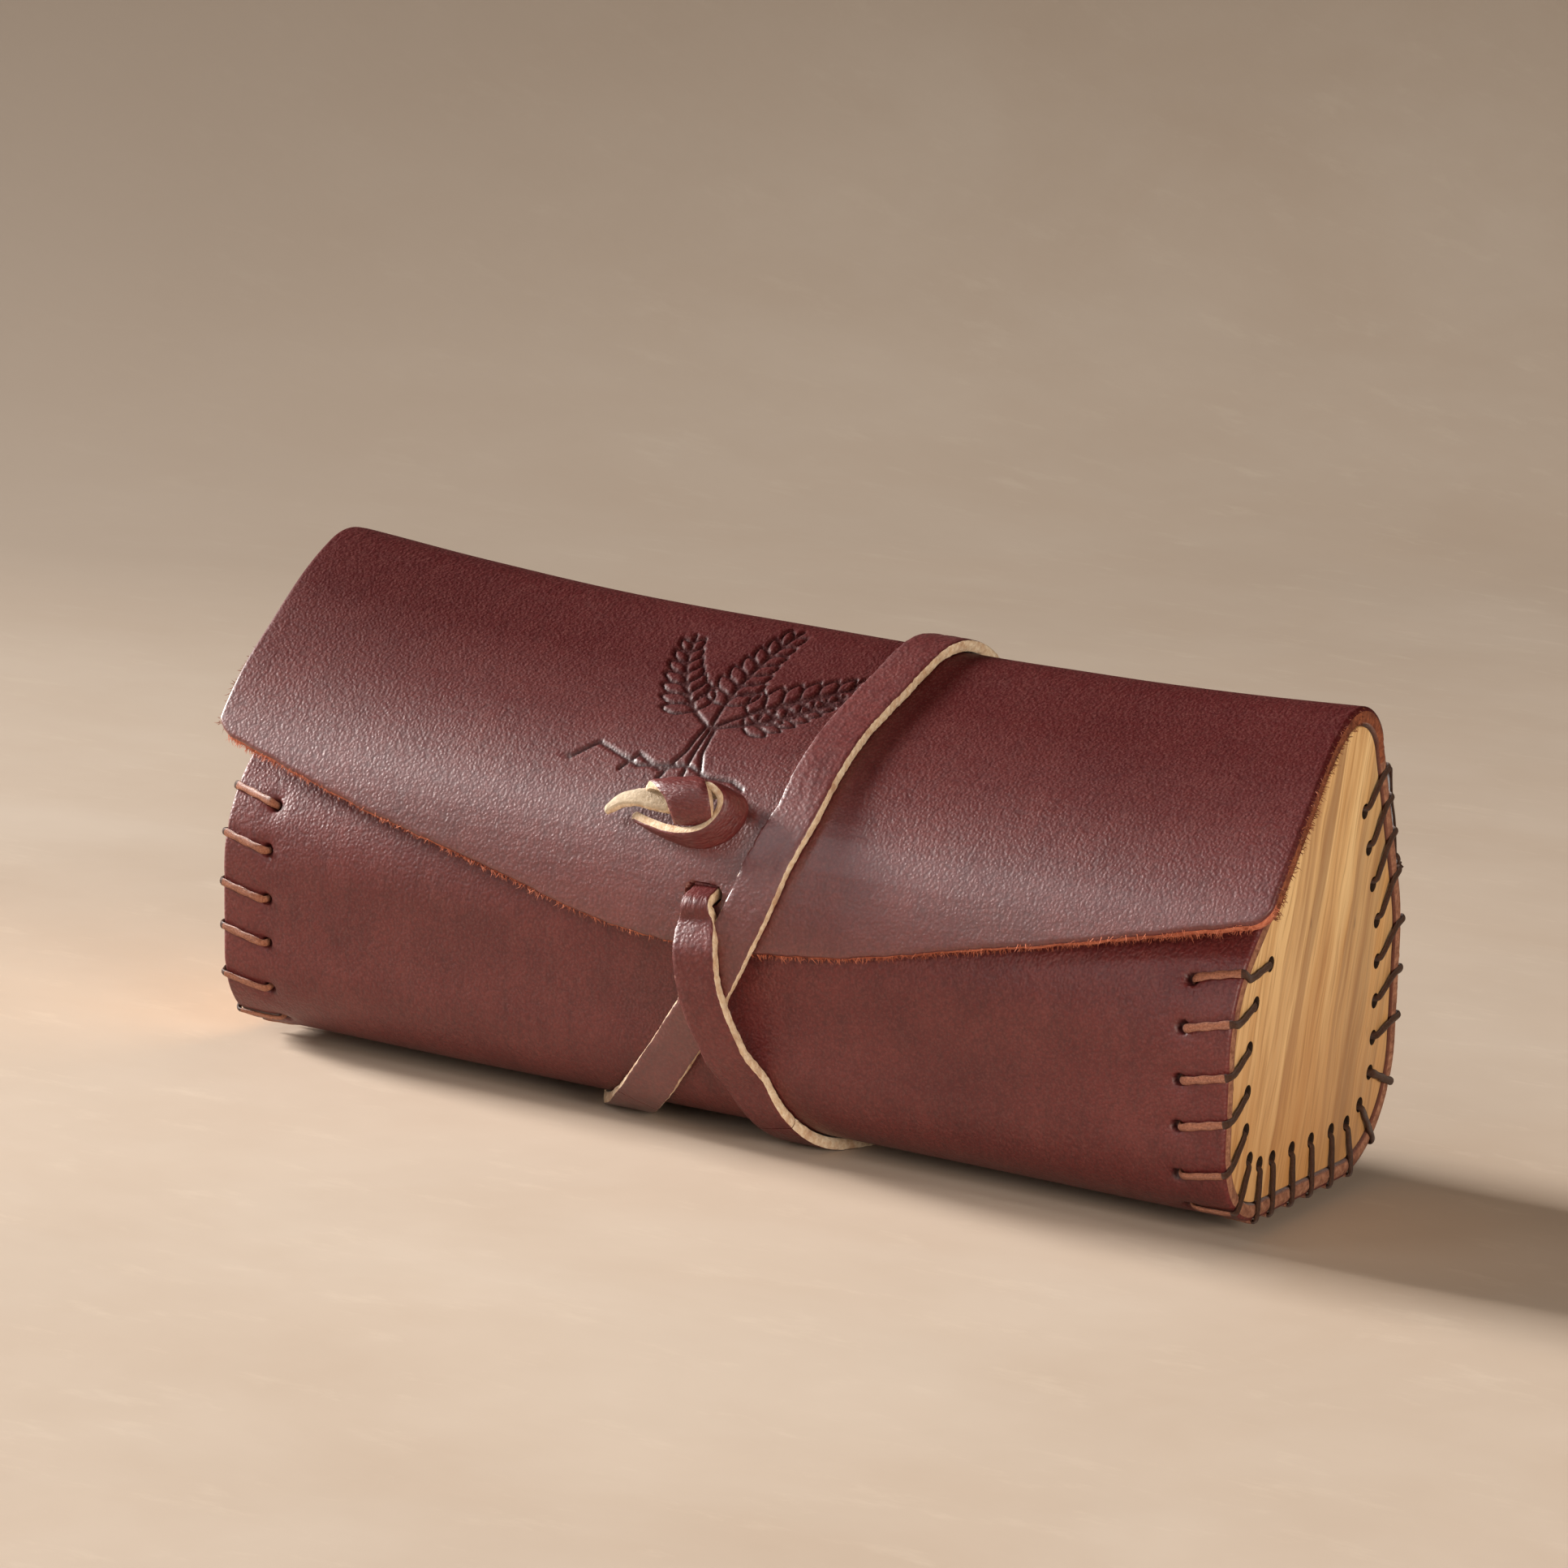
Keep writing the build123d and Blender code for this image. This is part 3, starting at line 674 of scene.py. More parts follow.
def flap_sheet():
    # columns are close at the two ends and round the ornament, the knot and the slot
    side = FLAP_HALF - np.concatenate((np.linspace(0, 1, 6)[:-1], spacing((1.0, 4.0, 0.6))))
    between = FLAP_HALF - 4.6
    middle = spacing((-between, -34, 1.7), (-34, 18, 0.34), (18, between, 1.7))
    columns = np.concatenate((-side, middle, side[::-1]))
    rows = np.concatenate((spacing((0.0, 0.985, 0.0046)), 1 - np.array([0.010, 0.006, 0.003, 0.0])))
    t, u = np.meshgrid(rows, columns, indexing="ij")
    corner = 3.5
    near_side = np.clip(corner - (FLAP_HALF - np.abs(columns)), 0, corner)
    end = flap_edge_s(columns) - (corner - np.sqrt(corner**2 - near_side**2))
    edge_places = np.stack((columns, 0 * columns, 0 * columns), -1)
    end = end + 0.25 * soft_noise(edge_places, 2.3, 11.0) + 0.5 * soft_noise(edge_places, 28.0, 4.0)
    s = SEAM + t * (end - SEAM)[None, :]
    reach = half_length(s, u)
    x = u * reach / FLAP_HALF
    relief = waviness(x, s, 0.22) * smooth(SEAM, SEAM + 14, s)
    near = (np.abs(x - BRANCH_X) < 27) & (np.abs(s - BRANCH_S) < 23)
    pressed_and_shaded = np.zeros_like(x)
    pressed_and_shaded[near] = stroke_depth((x[near] - BRANCH_X) / BRANCH_SCALE, (BRANCH_S - s[near]) / BRANCH_SCALE)
    relief = relief - 0.42 * pressed_and_shaded
    slot = np.hypot(np.maximum(np.abs(x - SLOT_X) - SLOT_HALF, 0), s - SLOT_S)
    pit = 1 - smooth(1.1, 1.6, slot)
    relief = relief - 2.4 * pit - 0.25 * np.exp(-((slot / 2.6) ** 2))
    # painted shade: the slot's pit is marked for a dark colour that stands in for its shaded inside
    pressed_and_shaded = np.maximum(pressed_and_shaded, pit * 1.3)
    edge = np.minimum(reach - np.abs(x), end[None, :] - s)
    relief = relief - edge_drop(edge, 0.8)
    # the flap's left end arches off the case
    lift = 3.3 * np.exp(-(((s - 250) / 19) ** 2) - ((x + 106) / 45) ** 2) * smooth(SEAM, SEAM + 9, s)
    # the lower edge takes the lighter cut-edge colour, painted light
    obj = strip(
        "hide_flap", x, s, [leather, hide_flesh, hide_cut, flap_cut_painted_light], relief + lift,
        edge_drop(edge, 0.3) * 0.6 + lift, pressed_and_shaded, rough=0.26, wall_kinds=(2, 2, 3, 2),
    )
    return obj, float(np.max(end) - SEAM)


flap_piece, flap_length = flap_sheet()


def fibres(name, count, length, material, at_ends):
    """Frayed fibres along the flap's cut lower edge, or along its two ends."""
    vertices, faces = [], []
    for k in range(count):
        if not at_ends:
            position = (-FLAP_HALF + 3 + rng.random() * (2 * FLAP_HALF - 6))
            s = float(flap_edge_s(np.array([position]))[0])
            heading = np.array([rng.normal(0, 0.6), 1.0])
        else:
            side = rng.choice((-1, 1))
            s = SEAM + 14 + rng.random() * (flap_edge_s(np.array([FLAP_HALF - 3.0]))[0] - SEAM - 16)
            position = side * float(half_length(s, side))
            heading = np.array([side * 1.0, rng.normal(0, 0.6)])
        level = rng.random() ** 1.7 * HIDE
        y, z, angle = hide.at(s, level)
        base = settled(np.array([position, float(y), float(z)]))
        along = np.array([0.0, -math.sin(angle), math.cos(angle)])
        outward = np.array([0.0, math.cos(angle), math.sin(angle)])
        heading /= np.linalg.norm(heading)
        way = np.array([1.0, 0, 0]) * heading[0] + along * heading[1] + outward * rng.normal(-0.15, 0.35)
        reach = length * (0.35 + rng.random())
        thin = 0.045 + 0.05 * rng.random()
        across = np.cross(way, outward)
        across /= np.linalg.norm(across)
        bend = outward * rng.normal(0, 0.25) + across * rng.normal(0, 0.25)
        start = len(vertices)
        for step, width in ((-0.25, 1.0), (0.5, 0.8), (1.0, 0.15)):
            centre = base + way * reach * step + bend * reach * max(step, 0) ** 2
            for corner in range(3):
                turn = 2 * math.pi * corner / 3
                vertices.append(centre + (across * math.cos(turn) + outward * math.sin(turn)) * thin * width)
        for ring in range(2):
            for corner in range(3):
                a = start + ring * 3 + corner
                b = start + ring * 3 + (corner + 1) % 3
                faces.append((a, b, b + 3, a + 3))
        faces.append((start, start + 2, start + 1))
        faces.append((start + 6, start + 7, start + 8))
    return mesh_object(name, vertices, faces, [material])


# the flap's fibres take the same cut-edge colour, painted light
flap_fibres = fibres("flap_fibres", 1700, 0.95, flap_cut_painted_light, False)
end_fibres = fibres("flap_end_fibres", 800, 0.8, hide_cut, True)


# --- end plates ---


def end_plate(name, side):
    """A plate cut from a board, its edges eased and its stitch holes drilled."""
    curve = bpy.data.curves.new(name, "CURVE")
    curve.dimensions = "2D"
    curve.fill_mode = "BOTH"
    curve.extrude = 3.4 * MM
    curve.bevel_depth = 0.3 * MM
    curve.bevel_resolution = 2
    curve.offset = -0.3 * MM
    y, z, _ = plate_loop.at(np.linspace(0, plate_loop.length, 241)[:-1], -0.28)
    outlines = [list(zip(y, z))]
    for s in PLATE_HOLES:
        hole_y, hole_z, _ = inset_loop.at(s)
        outlines.append([
            (hole_y + 1.28 * math.cos(turn), hole_z + 1.28 * math.sin(turn))
            for turn in np.linspace(0, 2 * math.pi, 21)[:-1]
        ])
    for outline in outlines:
        spline = curve.splines.new("POLY")
        spline.points.add(len(outline) - 1)
        spline.use_cyclic_u = True
        for point, (py, pz) in zip(spline.points, outline):
            point.co = (py * MM, pz * MM, 0, 1)
    shaped = bpy.data.objects.new(name + "_outline", curve)
    bpy.context.scene.collection.objects.link(shaped)
    bpy.context.view_layer.update()
    mesh = bpy.data.meshes.new_from_object(shaped)
    bpy.data.objects.remove(shaped)
    mesh.name = name
    mesh.materials.clear()
    mesh.materials.append(wood)
    mesh.materials.append(hole_wall_shade)
    holes = np.array([inset_loop.at(s)[:2] for s in PLATE_HOLES], float)
    # the walls of the drilled holes take the painted-shade material
    for polygon in mesh.polygons:
        place = np.array(polygon.center[:2]) / MM
        if np.min(np.hypot(*(holes - place).T)) < 1.45 and abs(polygon.normal[2]) < 0.9:
            polygon.material_index = 1
    centre_x = side * (CASE_HALF - 0.4 - 3.7)
    mesh.transform(Matrix(((0, 0, 1, centre_x * MM), (1, 0, 0, 0), (0, 1, 0, 0), (0, 0, 0, 1))))
    obj = bpy.data.objects.new(name, mesh)
    bpy.context.scene.collection.objects.link(obj)
    return obj


plates = {side: end_plate(f"wood_plate_{word}", side) for word, side in (("left", -1), ("right", 1))}


# --- sweeps ---


def resample(points, step, passes=2):
    """Corners cut off a polyline, then points every step along it."""
    points = [np.asarray(p, float) for p in points]
    for _ in range(passes):
        cut = [points[0]]
        for a, b in zip(points, points[1:]):
            cut.append(a * 0.75 + b * 0.25)
            cut.append(a * 0.25 + b * 0.75)
        cut.append(points[-1])
        points = cut
    points = np.array(points)
    reach = np.concatenate(([0.0], np.cumsum(np.linalg.norm(np.diff(points[:, :3], axis=0), axis=1))))
    stations = np.linspace(0, reach[-1], max(3, round(reach[-1] / step) + 1))
    return np.stack([np.interp(stations, reach, points[:, k]) for k in range(points.shape[1])], -1), stations


def frames(centres, normals):
    """Unit vectors across a line, and its normals made square to it."""
    tangents = unit(np.gradient(centres, axis=0))
    normals = unit(normals - tangents * np.sum(normals * tangents, axis=1)[:, None])
    return np.cross(tangents, normals), normals


def tube_faces(rows, around, start=0):
    """The sides of a tube, ring by ring, and then its two ends."""
    faces = []
    for r in range(rows - 1):
        for k in range(around):
            a, b = start + r * around + k, start + r * around + (k + 1) % around
            faces.append((a, b, b + around, a + around))
    faces.append(tuple(start + k for k in range(around))[::-1])
    faces.append(tuple(start + (rows - 1) * around + k for k in range(around)))
    return faces


# --- lacing ---

THREAD_PROFILE = [
    (0.66 * math.cos(turn) * (1 + 0.10 * math.cos(2 * turn)), 0.40 * math.sin(turn))
    for turn in np.linspace(0, 2 * math.pi, 15)[:-1]
]


def stitch_route(k, side):
    """Centre and facing of one stitch, from inside the plate's hole to inside the hide's."""
    face = side * (CASE_HALF - 0.4)
    rim = side * CASE_HALF
    hole_y, hole_z, _ = inset_loop.at(PLATE_HOLES[k])
    end_y, end_z, end_angle = hide_loop.at(HIDE_HOLES[k])
    hole = np.array([hole_y, hole_z])
    end = np.array([end_y, end_z])
    edge_y, edge_z, edge_angle = hide_loop.at(HIDE_HOLES[k] - STITCH_SLANT[k])
    edge = np.array([edge_y, edge_z])
    edge_out = np.array([math.cos(edge_angle), math.sin(edge_angle)])
    way = (edge - hole) / np.linalg.norm(edge - hole)
    out = np.array([math.cos(end_angle), math.sin(end_angle)])
    hole_x = side * (CASE_HALF - HIDE_HOLE_INSET)
    face_way = (side, 0, 0)
    out_way = (0, out[0], out[1])
    both = (side, out[0], out[1])
    start = hole + way * 0.45
    points = [
        (face - side * 2.6, *start, *face_way),
        (face - side * 0.6, *start, *face_way),
        (face + side * 0.30, *(start + way * 0.5), *face_way),
        (face + side * 0.42, *(start + way * 1.6), *face_way),
        (rim + side * 0.36, *(edge - edge_out * HIDE - way * 0.2), *face_way),
        (rim + side * 0.42, *(edge - edge_out * 0.9), *face_way),
        (rim + side * 0.26, *(edge + edge_out * 0.22), *both),
        (rim - side * 0.9, *(edge * 0.9 + end * 0.1 + out * 0.34), *out_way),
        (hole_x + side * 2.2, *(edge * 0.24 + end * 0.76 + out * 0.2), *out_way),
        (hole_x + side * 0.55, *(end - out * 0.25), *out_way),
        (hole_x + side * 0.15, *(end - out * 1.7), *out_way),
    ]
    route, stations = resample(points, 0.28)
    route[:, :3] = settled(route[:, :3])
    return route, stations


def ply_places(stations, seed):
    """Places along and round a thread, for its twist."""
    around = len(THREAD_PROFILE)
    return [(s * 5.2, j / around * 12.0, seed) for s in stations for j in range(around)]


def thread_rings(route, wander):
    """The thread's outline at each place of a route; wander widens and thins it."""
    across, normals = frames(route[:, :3], route[:, 3:])
    wide, tall = np.array(THREAD_PROFILE).T[..., None]
    wander = np.asarray(wander)[:, None, None]
    rings = route[:, None, :3] + across[:, None] * wide * wander + normals[:, None] * tall / wander
    return rings.reshape(-1, 3)


def stitch_group(name, side, numbers):
    """Stitches in one piece, in the lighter colour where they lie over the hide."""
    vertices, faces, kinds, plies = [], [], [], []
    around = len(THREAD_PROFILE)
    for k in numbers:
        route, stations = stitch_route(k, side)
        faces += tube_faces(len(route), around, len(vertices))
        vertices.extend(thread_rings(route, 1 + 0.10 * np.sin(stations * 1.7 + 2.1 * k)))
        plies += ply_places(stations, k * 3.1)
        over_hide = (np.abs(route[:, 0]) < CASE_HALF - 0.2) & (stations > stations[-1] * 0.45)
        kinds += np.repeat(over_hide[:-1].astype(int), around).tolist() + [0, 1]
    obj = mesh_object(name, vertices, faces, [thread_dark, thread_light], kinds, 70)
    set_vector(obj, "ply", plies)
    return obj


lacing = {}
STITCH_GROUPS = {"front": range(0, 6), "base": range(6, 14), "back": range(14, 21)}
for word, side in (("left", -1), ("right", 1)):
    for group, numbers in STITCH_GROUPS.items():
        lacing[group, word] = stitch_group(f"thread_{group}_{word}", side, numbers)


def thread_run(name, points, seed):
    route, stations = resample(points, 0.3)
    faces = tube_faces(len(route), len(THREAD_PROFILE))
    rings = thread_rings(route, np.ones(len(route)))
    obj = mesh_object(name, rings, faces, [thread_dark, thread_light], None, 70)
    set_vector(obj, "ply", ply_places(stations, seed))
    return obj


def return_thread(word, side):
    """The thread runs back along the edge over its last stitches and ends in a knot with two tails."""
    points = []
    for s, x_in, rise in (
        (233.5, 0.0, 0.4), (230, 0.5, 0.8), (226, 0.8, 0.9), (222, 0.6, 0.8), (218, 0.9, 0.9),
        (214, 1.2, 0.9), (212.5, 1.6, 1.0),
    ):
        y, z, angle = hide_loop.at(s, rise)
        points.append((side * (CASE_HALF + 0.1 - x_in), y, z, side * 0.6, math.cos(angle), math.sin(angle)))
    return thread_run(f"thread_return_{word}", points, 5.0)


def end_knot(word, side):
    """A small round knot and its two cut tails."""
    y, z, angle = hide_loop.at(213.0, 0.9)
    centre = np.array([side * (CASE_HALF - 1.6), float(y), float(z)])
    out = np.array([0.0, math.cos(angle), math.sin(angle)])
    along = np.array([0.0, -math.sin(angle), math.cos(angle)])
    lengthwise = np.array([side * 1.0, 0.0, 0.0])
    points = []
    for turn in np.linspace(0, 2 * math.pi * 1.6, 22):
        ring = along * math.cos(turn) * 1.15 + lengthwise * math.sin(turn) * 1.15
        lift = out * (0.25 * math.sin(turn * 0.5))
        points.append((*(centre + ring + lift), *(ring + out * 1.4)))
    tail = centre + along * 1.2
    points.append((*(tail + along * -2.0 + out * 0.6), *out))
    points.append((*(tail + along * -3.4 + out * 1.6 + lengthwise * 0.4), *out))
    knot = thread_run(f"thread_knot_{word}", points, 8.0)
    second = [
        (*(centre - lengthwise * 0.9), *out), (*(centre - along * 1.1 + out * 0.5), *out),
        (*(centre - along * 2.4 + out * 0.3 + lengthwise * 1.5), *out),
    ]
    tail_piece = thread_run(f"thread_tail_{word}", second, 2.0)
    return knot, tail_piece


returns, knots = {}, {}
for word, side in (("left", -1), ("right", 1)):
    returns[word] = return_thread(word, side)
    knots[word] = end_knot(word, side)


# --- the thong ---

CROSSING = (66.0, 73.0, 90.0, 99.0)
FRONT_START = 60.5
FRONT_CORNER = 107.2
HEEL = 192.0
OVER_CORNER = 388.2
THONG_END = 486.0
CUT_GAP = 0.1


def thong_x(stations):
    """Sideways places of the thong: the listed line, its corners rounded."""
    fine = np.arange(40.0, 500.01, 0.5)
    distances, places = np.array(THONG_LINE, float).T
    reach = np.arange(-16, 17)
    weights = np.exp(-((reach / 7.0) ** 2))
    padded = np.pad(np.interp(fine, distances, places), reach[-1], mode="edge")
    return np.interp(stations, fine, np.convolve(padded, weights / weights.sum(), mode="valid"))


def thong_lift(s):
    """Height over the thong's own level: up out of the slot, over the other strand and up at the end."""
    rise = smooth(*CROSSING[:2], s) * (1 - smooth(*CROSSING[2:], s)) * (STRAP + 0.25)
    entry = 0.9 * np.exp(-(((s - 64.6) / 1.6) ** 2)) - 3.4 * (1 - smooth(61.2, 64.2, s))
    return rise + entry + 0.8 * smooth(THONG_END - 6, THONG_END, s)


def strap_profile():
    """Rounded flat section: (across, up) and the kind of each side: 0 grain, 1 flesh, 2 cut."""
    half, thick = STRAP_WIDTH / 2, STRAP / 2
    edge = [(half - 0.12, thick - 0.14), (half, thick - 0.5), (half + 0.04, 0.0), (half, -thick + 0.45)]
    points = [(a, thick + 0.04 - 0.10 * (a / half) ** 2) for a in np.linspace(half - 0.35, -half + 0.35, 13)]
    points += [(-a, u) for a, u in edge]
    points += [(a, -thick) for a in np.linspace(-half + 0.25, half - 0.25, 7)]
    points += edge[::-1]
    return points, [0] * 13 + [2] * 4 + [1] * 6 + [2] * 4 + [0]


STRAP_POINTS, STRAP_KINDS = strap_profile()


def ragged_strap(centres):
    """Small wobble of the strap's cut sides and a few creases along its grain side."""
    change = np.zeros((len(centres), len(STRAP_POINTS), 2))
    for k, (a, u) in enumerate(STRAP_POINTS):
        if abs(a) > STRAP_WIDTH / 2 - 0.3:
            offsets = centres + (0, 0, k * 0.4)
            broad = soft_noise(centres, 6.0, 7.0 + np.sign(a))
            change[:, k, 0] = soft_noise(offsets, 0.8, 3.0) * 0.18 + broad * 0.22
            change[:, k, 1] = soft_noise(offsets, 1.1, 6.0) * 0.06
        elif u > 0:
            change[:, k, 1] = soft_noise(centres * 0.16 + (a, 0, 0), 1.0, 8.0) * 0.09
    return change


def strap(name, start, stop, ends=(0, 0)):
    """A stretch of the thong; ends are the kinds of its two cut ends."""
    inside = np.arange(58.0, 486.01, 0.5)
    inside = inside[(inside > start + 0.2) & (inside < stop - 0.2)]
    stations = np.concatenate(([start], inside, [stop]))
    x = thong_x(stations)
    y, z, angle = thong_loop.at(stations, thong_lift(stations))
    centres = settled(np.stack((x, y, z), -1))
    across, normals = frames(centres, outwards(angle))
    # the slot pinches the strand that leaves it
    pinch = 0.62 + 0.38 * smooth(62.5, 71, stations)
    shape = np.stack((pinch, np.ones_like(pinch)), -1)[:, None] * STRAP_POINTS + ragged_strap(centres)
    rings = centres[:, None] + across[:, None] * shape[..., :1] + normals[:, None] * shape[..., 1:]
    kinds = STRAP_KINDS * (len(stations) - 1) + list(ends)
    faces = tube_faces(len(stations), len(STRAP_POINTS))
    materials = [thong_leather, thong_flesh, thong_cut]
    obj = mesh_object(name, rings.reshape(-1, 3), faces, materials, kinds, 55)
    steps = np.linalg.norm(np.diff(centres, axis=0), axis=1)
    along = start + np.concatenate(([0.0], np.cumsum(steps)))
    set_hide(obj, [(a + 40, d, u) for d in along for a, u in STRAP_POINTS])
    return obj


front_strap = strap("thong_front_strand", FRONT_START, FRONT_CORNER)
inner_strap = strap("thong_under_case", FRONT_CORNER + CUT_GAP, HEEL - CUT_GAP / 2)
over_strap = strap("thong_over_flap", HEEL + CUT_GAP / 2, OVER_CORNER)
outer_strap = strap("thong_end_strand", OVER_CORNER + CUT_GAP, THONG_END, (0, 2))

# --- the knot that holds the thong's other end ---

KNOT_X = -5.0
KNOT_S = 289.3
KNOT_EDGE = 0.28
knot_y, knot_z, knot_angle = hide.at(KNOT_S, HIDE)
KNOT_ORIGIN = np.array([KNOT_X, float(knot_y), float(knot_z)])
KNOT_AXES = np.array([
    [1.0, 0.0, 0.0],
    [0.0, math.sin(knot_angle), -math.cos(knot_angle)],
    [0.0, math.cos(knot_angle), math.sin(knot_angle)],
])


def curve_through(points, count):
    """count places on a smooth curve through points (Catmull-Rom)."""
    p = [np.asarray(q, float) for q in points]
    p = [2 * p[0] - p[1], *p, 2 * p[-1] - p[-2]]
    places = []
    for t in np.linspace(0, len(points) - 1 - 1e-6, count):
        k = int(t)
        u = t - k
        a, b, c, d = p[k:k + 4]
        bend = (2 * a - 5 * b + 4 * c - d) * u**2 + (3 * b - a - 3 * c + d) * u**3
        places.append(0.5 * (2 * b + (c - a) * u + bend))
    return np.array(places)


def knot_band(name, first_edge, second_edge, thick=2.0, count=46, turned=False):
    """A stretch of thong between two edges, each a smooth curve of (right, up, out) places on the knot.
    Its grain side faces to the left of the way from the first edge to the second."""
    edges = [curve_through(e, count) @ KNOT_AXES + KNOT_ORIGIN for e in (first_edge, second_edge)]
    share = np.linspace(0, 1, 12)[None, :, None]
    middle = edges[0][:, None] * (1 - share) + edges[1][:, None] * share
    down = np.gradient(middle, axis=0)
    side = np.gradient(middle, axis=1)
    normal = unit(np.cross(side, down))
    crown = 0.25 * (1 - (2 * share - 1) ** 2)
    wobble = soft_noise(middle.reshape(-1, 3), 2.2, 4.0).reshape(middle.shape[:2])[..., None] * 0.12
    rim = np.zeros((*middle.shape[:2], 1))
    rim[:, [0, -1]] = KNOT_EDGE
    rim[[0, -1], :] = KNOT_EDGE
    top = settled(middle + normal * (thick / 2 + crown + wobble - rim))
    base = settled(middle - normal * (thick / 2 - crown - wobble - rim * 0.6))

    def roughness(places, k):
        return soft_noise(places, 0.7, k) * 0.16 + soft_noise(places, 2.4, 9) * 0.12

    rows, columns = middle.shape[:2]
    materials = [thong_leather, thong_flesh, thong_cut]
    kinds = (int(turned), int(not turned))
    around = [2] * (2 * (rows + columns) - 4)
    obj = slab(name, (top, base, middle), materials, kinds, around, 4, 0.18, roughness, 55, flipped=True)
    along, across = np.meshgrid(np.linspace(0, 22, rows), np.linspace(0, STRAP_WIDTH, columns), indexing="ij")
    set_hide(obj, np.stack((along + 60, across + 60, 0 * along), -1).reshape(-1, 3))
    return obj


knot_ring = knot_band(
    "knot_ring",
    [(1.5, 3.6, 0.9), (5.5, 4.6, 0.9), (9.0, 3.2, 0.9), (9.6, -0.6, 0.9), (7.6, -4.4, 1.0), (2.8, -6.6, 1.1),
     (-4.6, -5.3, 1.3), (-10.8, -3.1, 2.2)],
    [(1.0, 3.4, 7.6), (4.6, 3.6, 8.2), (7.0, 2.2, 7.6), (7.3, -0.4, 6.8), (5.6, -3.6, 6.2), (2.2, -5.2, 5.6),
     (-3.4, -5.2, 4.6), (-9.8, -3.6, 3.6)],
    1.9,
)
knot_wrap = knot_band(
    "knot_wrap",
    [(1.4, 5.0, 6.0), (3.6, 4.2, 8.0), (5.2, 2.6, 8.9), (6.2, 0.6, 8.4), (6.4, -1.4, 6.6), (5.8, -2.6, 4.4)],
    [(-8.6, 1.6, 5.2), (-7.2, 1.9, 7.2), (-4.9, 1.1, 8.6), (-2.4, -0.6, 8.6), (-1.2, -2.6, 7.4),
     (-1.0, -3.9, 4.9)],
    1.9,
)
knot_tail = knot_band(
    "knot_tail",
    [(-2.6, -2.2, 4.6), (-6.0, -2.2, 4.9), (-9.6, -2.0, 5.0), (-12.6, -2.6, 4.4), (-15.4, -4.2, 3.4)],
    [(-3.6, 2.4, 4.4), (-6.6, 2.0, 4.8), (-10.0, 1.2, 4.8), (-13.0, 0.0, 4.3), (-15.9, -3.0, 3.6)],
    1.6, 34, turned=True,
)

# --- what each piece moves with ---

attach(case_sheet, "case")
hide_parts("case_body")
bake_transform(flap_piece)
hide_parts("flap")
for piece in (flap_fibres, end_fibres):
    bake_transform(piece)
for word, side in (("left", -1), ("right", 1)):
    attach(plates[side], "case")
    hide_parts(f"end_plate_{word}")
    for group in STITCH_GROUPS:
        piece = lacing[group, word]
        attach(piece, "case")
        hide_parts(f"lacing_{group}_{word}")
    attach(returns[word], "case")
    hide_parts(f"lacing_return_{word}")
    for piece in knots[word]:
        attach(piece, "case")
    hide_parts(f"lacing_knot_{word}")
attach(front_strap, "flap")
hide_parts("thong_front", "thong_neck")
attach(inner_strap, "case")
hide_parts("thong_base_inner")
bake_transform(over_strap)
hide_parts("thong_over", "thong_back")
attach(outer_strap, "case")
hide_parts("thong_base_outer", "thong_tail")
for piece in (knot_ring, knot_wrap, knot_tail):
    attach(piece, "flap")
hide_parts("thong_knot")
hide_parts("thong_inside")

# --- floor, light and camera ---


BACKDROP_TURN = 27.0


def backdrop_material():
    n = Nodes("studio_paper")
    place = n.coords()
    cloud = n.noise(place, 3.2, 6.0, 0.62)
    blot = n.noise(place, 11.0, 5.0, 0.6, 0.4)
    wear = n.noise(n.coords(scale=(1, 2.2, 1)), 38.0, 6.0, 0.7)
    colour = n.mix(n.spread(cloud, 0.3, 0.7), (0.470, 0.370, 0.288), (0.605, 0.500, 0.408))
    colour = n.mix(n.spread(blot, 0.35, 0.72, 0.0, 0.40), colour, (0.460, 0.335, 0.240))
    colour = n.mix(n.spread(wear, 0.56, 0.80, 0.0, 0.35), colour, (0.72, 0.61, 0.49))
    # painted shade: the paper is darkened far behind the case, most at the left, to stand in for the light
    # falling off there, and painted almost black high up, out of sight
    behind = n.axes(n.coords(rotation=(0, 0, -math.radians(BACKDROP_TURN))))
    far = n.spread(behind["Y"], 0.0, 0.55)
    left = n.spread(behind["X"], 0.28, -0.28, 0.22, 0.95)
    colour = n.mix(n.math("MULTIPLY", far, left), colour, (0.265, 0.212, 0.168))
    height = n.axes(place)["Z"]
    colour = n.mix(n.spread(height, 0.02, 0.22, 0.0, 0.5), colour, (0.205, 0.160, 0.120))
    colour = n.mix(n.spread(height, 0.16, 0.42), colour, (0.030, 0.022, 0.016))
    return n.finish(colour, 0.78, n.bump(wear, 0.10, 0.0008), Specular_IOR_Level=0.25)


def backdrop():
    """A floor that sweeps up into a wall, square to the camera."""
    profile = [(-1.6, 0.0)]
    for turn in np.linspace(0, math.pi / 2, 24):
        profile.append((0.62 + 0.55 * math.sin(turn), 0.55 * (1 - math.cos(turn))))
    profile.append((1.17, 2.6))
    across = np.array([math.cos(math.radians(BACKDROP_TURN)), math.sin(math.radians(BACKDROP_TURN)), 0])
    back = np.array([-across[1], across[0], 0])
    vertices, faces = [], []
    for reach, height in profile:
        for side in (-2.4, 2.4):
            vertices.append(across * side + back * reach + (0, 0, height))
    for k in range(len(profile) - 1):
        faces.append((2 * k, 2 * k + 1, 2 * k + 3, 2 * k + 2))
    return mesh_object("studio_backdrop", np.array(vertices) / MM, faces, [backdrop_material()], None, 80)


paper = backdrop()


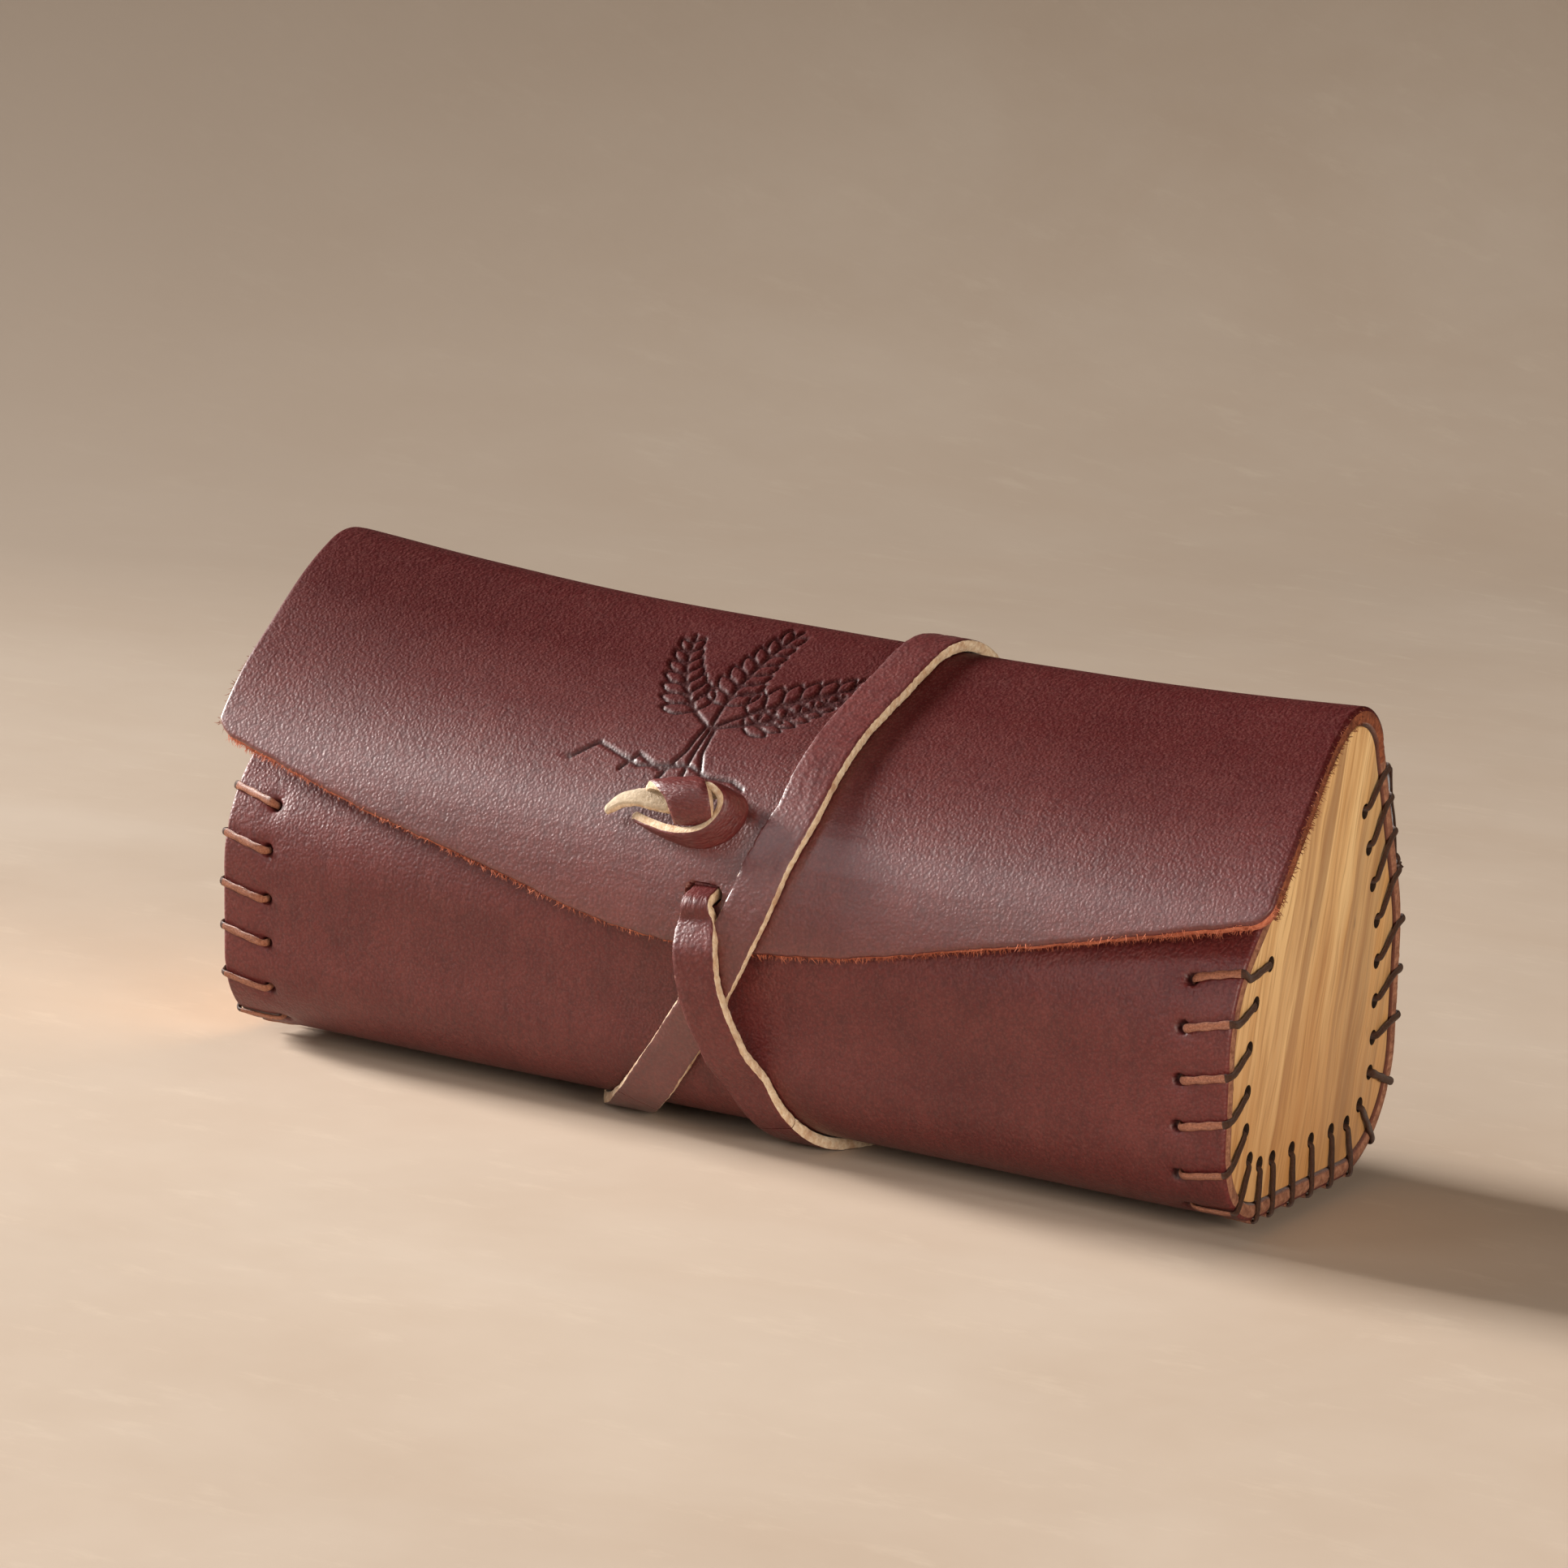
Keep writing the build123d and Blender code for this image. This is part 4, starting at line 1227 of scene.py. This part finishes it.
def area_light(name, place, aim, size, power, colour):
    light = bpy.data.lights.new(name, "AREA")
    light.shape = "RECTANGLE"
    light.size, light.size_y = size
    light.energy = power
    light.color = colour
    obj = bpy.data.objects.new(name, light)
    obj.location = place
    obj.rotation_euler = (Vector(aim) - Vector(place)).to_track_quat("-Z", "Y").to_euler()
    bpy.context.scene.collection.objects.link(obj)
    return obj


key = area_light("key", (-2.2, -0.10, 0.86), (0, 0, 0.05), (0.60, 0.62), 37.0, (1.0, 0.965, 0.92))
key.data.spread = math.radians(90)
area_light("side_fill", (1.35, -0.75, 0.45), (0.05, 0, 0.05), (0.7, 0.6), 16.5, (1.0, 0.90, 0.78))
area_light("front_fill", (-0.1, -1.9, 0.7), (0, 0, 0.05), (1.2, 0.8), 7.5, (1.0, 0.93, 0.86))
area_light("sheen", (-0.95, -1.30, 1.35), (0, 0, 0.05), (0.6, 0.35), 4.6, (0.97, 0.98, 1.0))
world = bpy.data.worlds.new("studio")
world.use_nodes = True
world.node_tree.nodes["Background"].inputs["Color"].default_value = (1.0, 0.88, 0.76, 1.0)
world.node_tree.nodes["Background"].inputs["Strength"].default_value = 0.08
bpy.context.scene.world = world


CAMERA_ANGLES = (27.09, 11.25, 4.53)
CAMERA_DISTANCE = 1196.4
CAMERA_LENS = 150.6


def photo_camera():
    """A long lens from the right and a little above, tipped slightly to one side."""
    azimuth, elevation, roll = (math.radians(a) for a in CAMERA_ANGLES)
    level = Vector((math.cos(azimuth), math.sin(azimuth), 0))
    away = Vector((level.y, -level.x, 0))
    back = away * math.cos(elevation) + Vector((0, 0, math.sin(elevation)))
    upright = back.cross(level)
    right = level * math.cos(roll) + upright * math.sin(roll)
    up = back.cross(right)
    target = Vector((-2.15, 0, 45)) - right * 1.48 + up * 15.73
    place = (target + back * CAMERA_DISTANCE) * MM
    data = bpy.data.cameras.new("photo_camera")
    data.lens = CAMERA_LENS
    data.sensor_width = 36
    data.clip_start = 0.05
    data.clip_end = 20
    data.dof.use_dof = False
    obj = bpy.data.objects.new("photo_camera", data)
    basis = Matrix((right, up, back)).transposed().to_4x4()
    basis.translation = place
    obj.matrix_world = basis
    bpy.context.scene.collection.objects.link(obj)
    bpy.context.scene.camera = obj


photo_camera()
bpy.context.scene.view_settings.view_transform = "Standard"
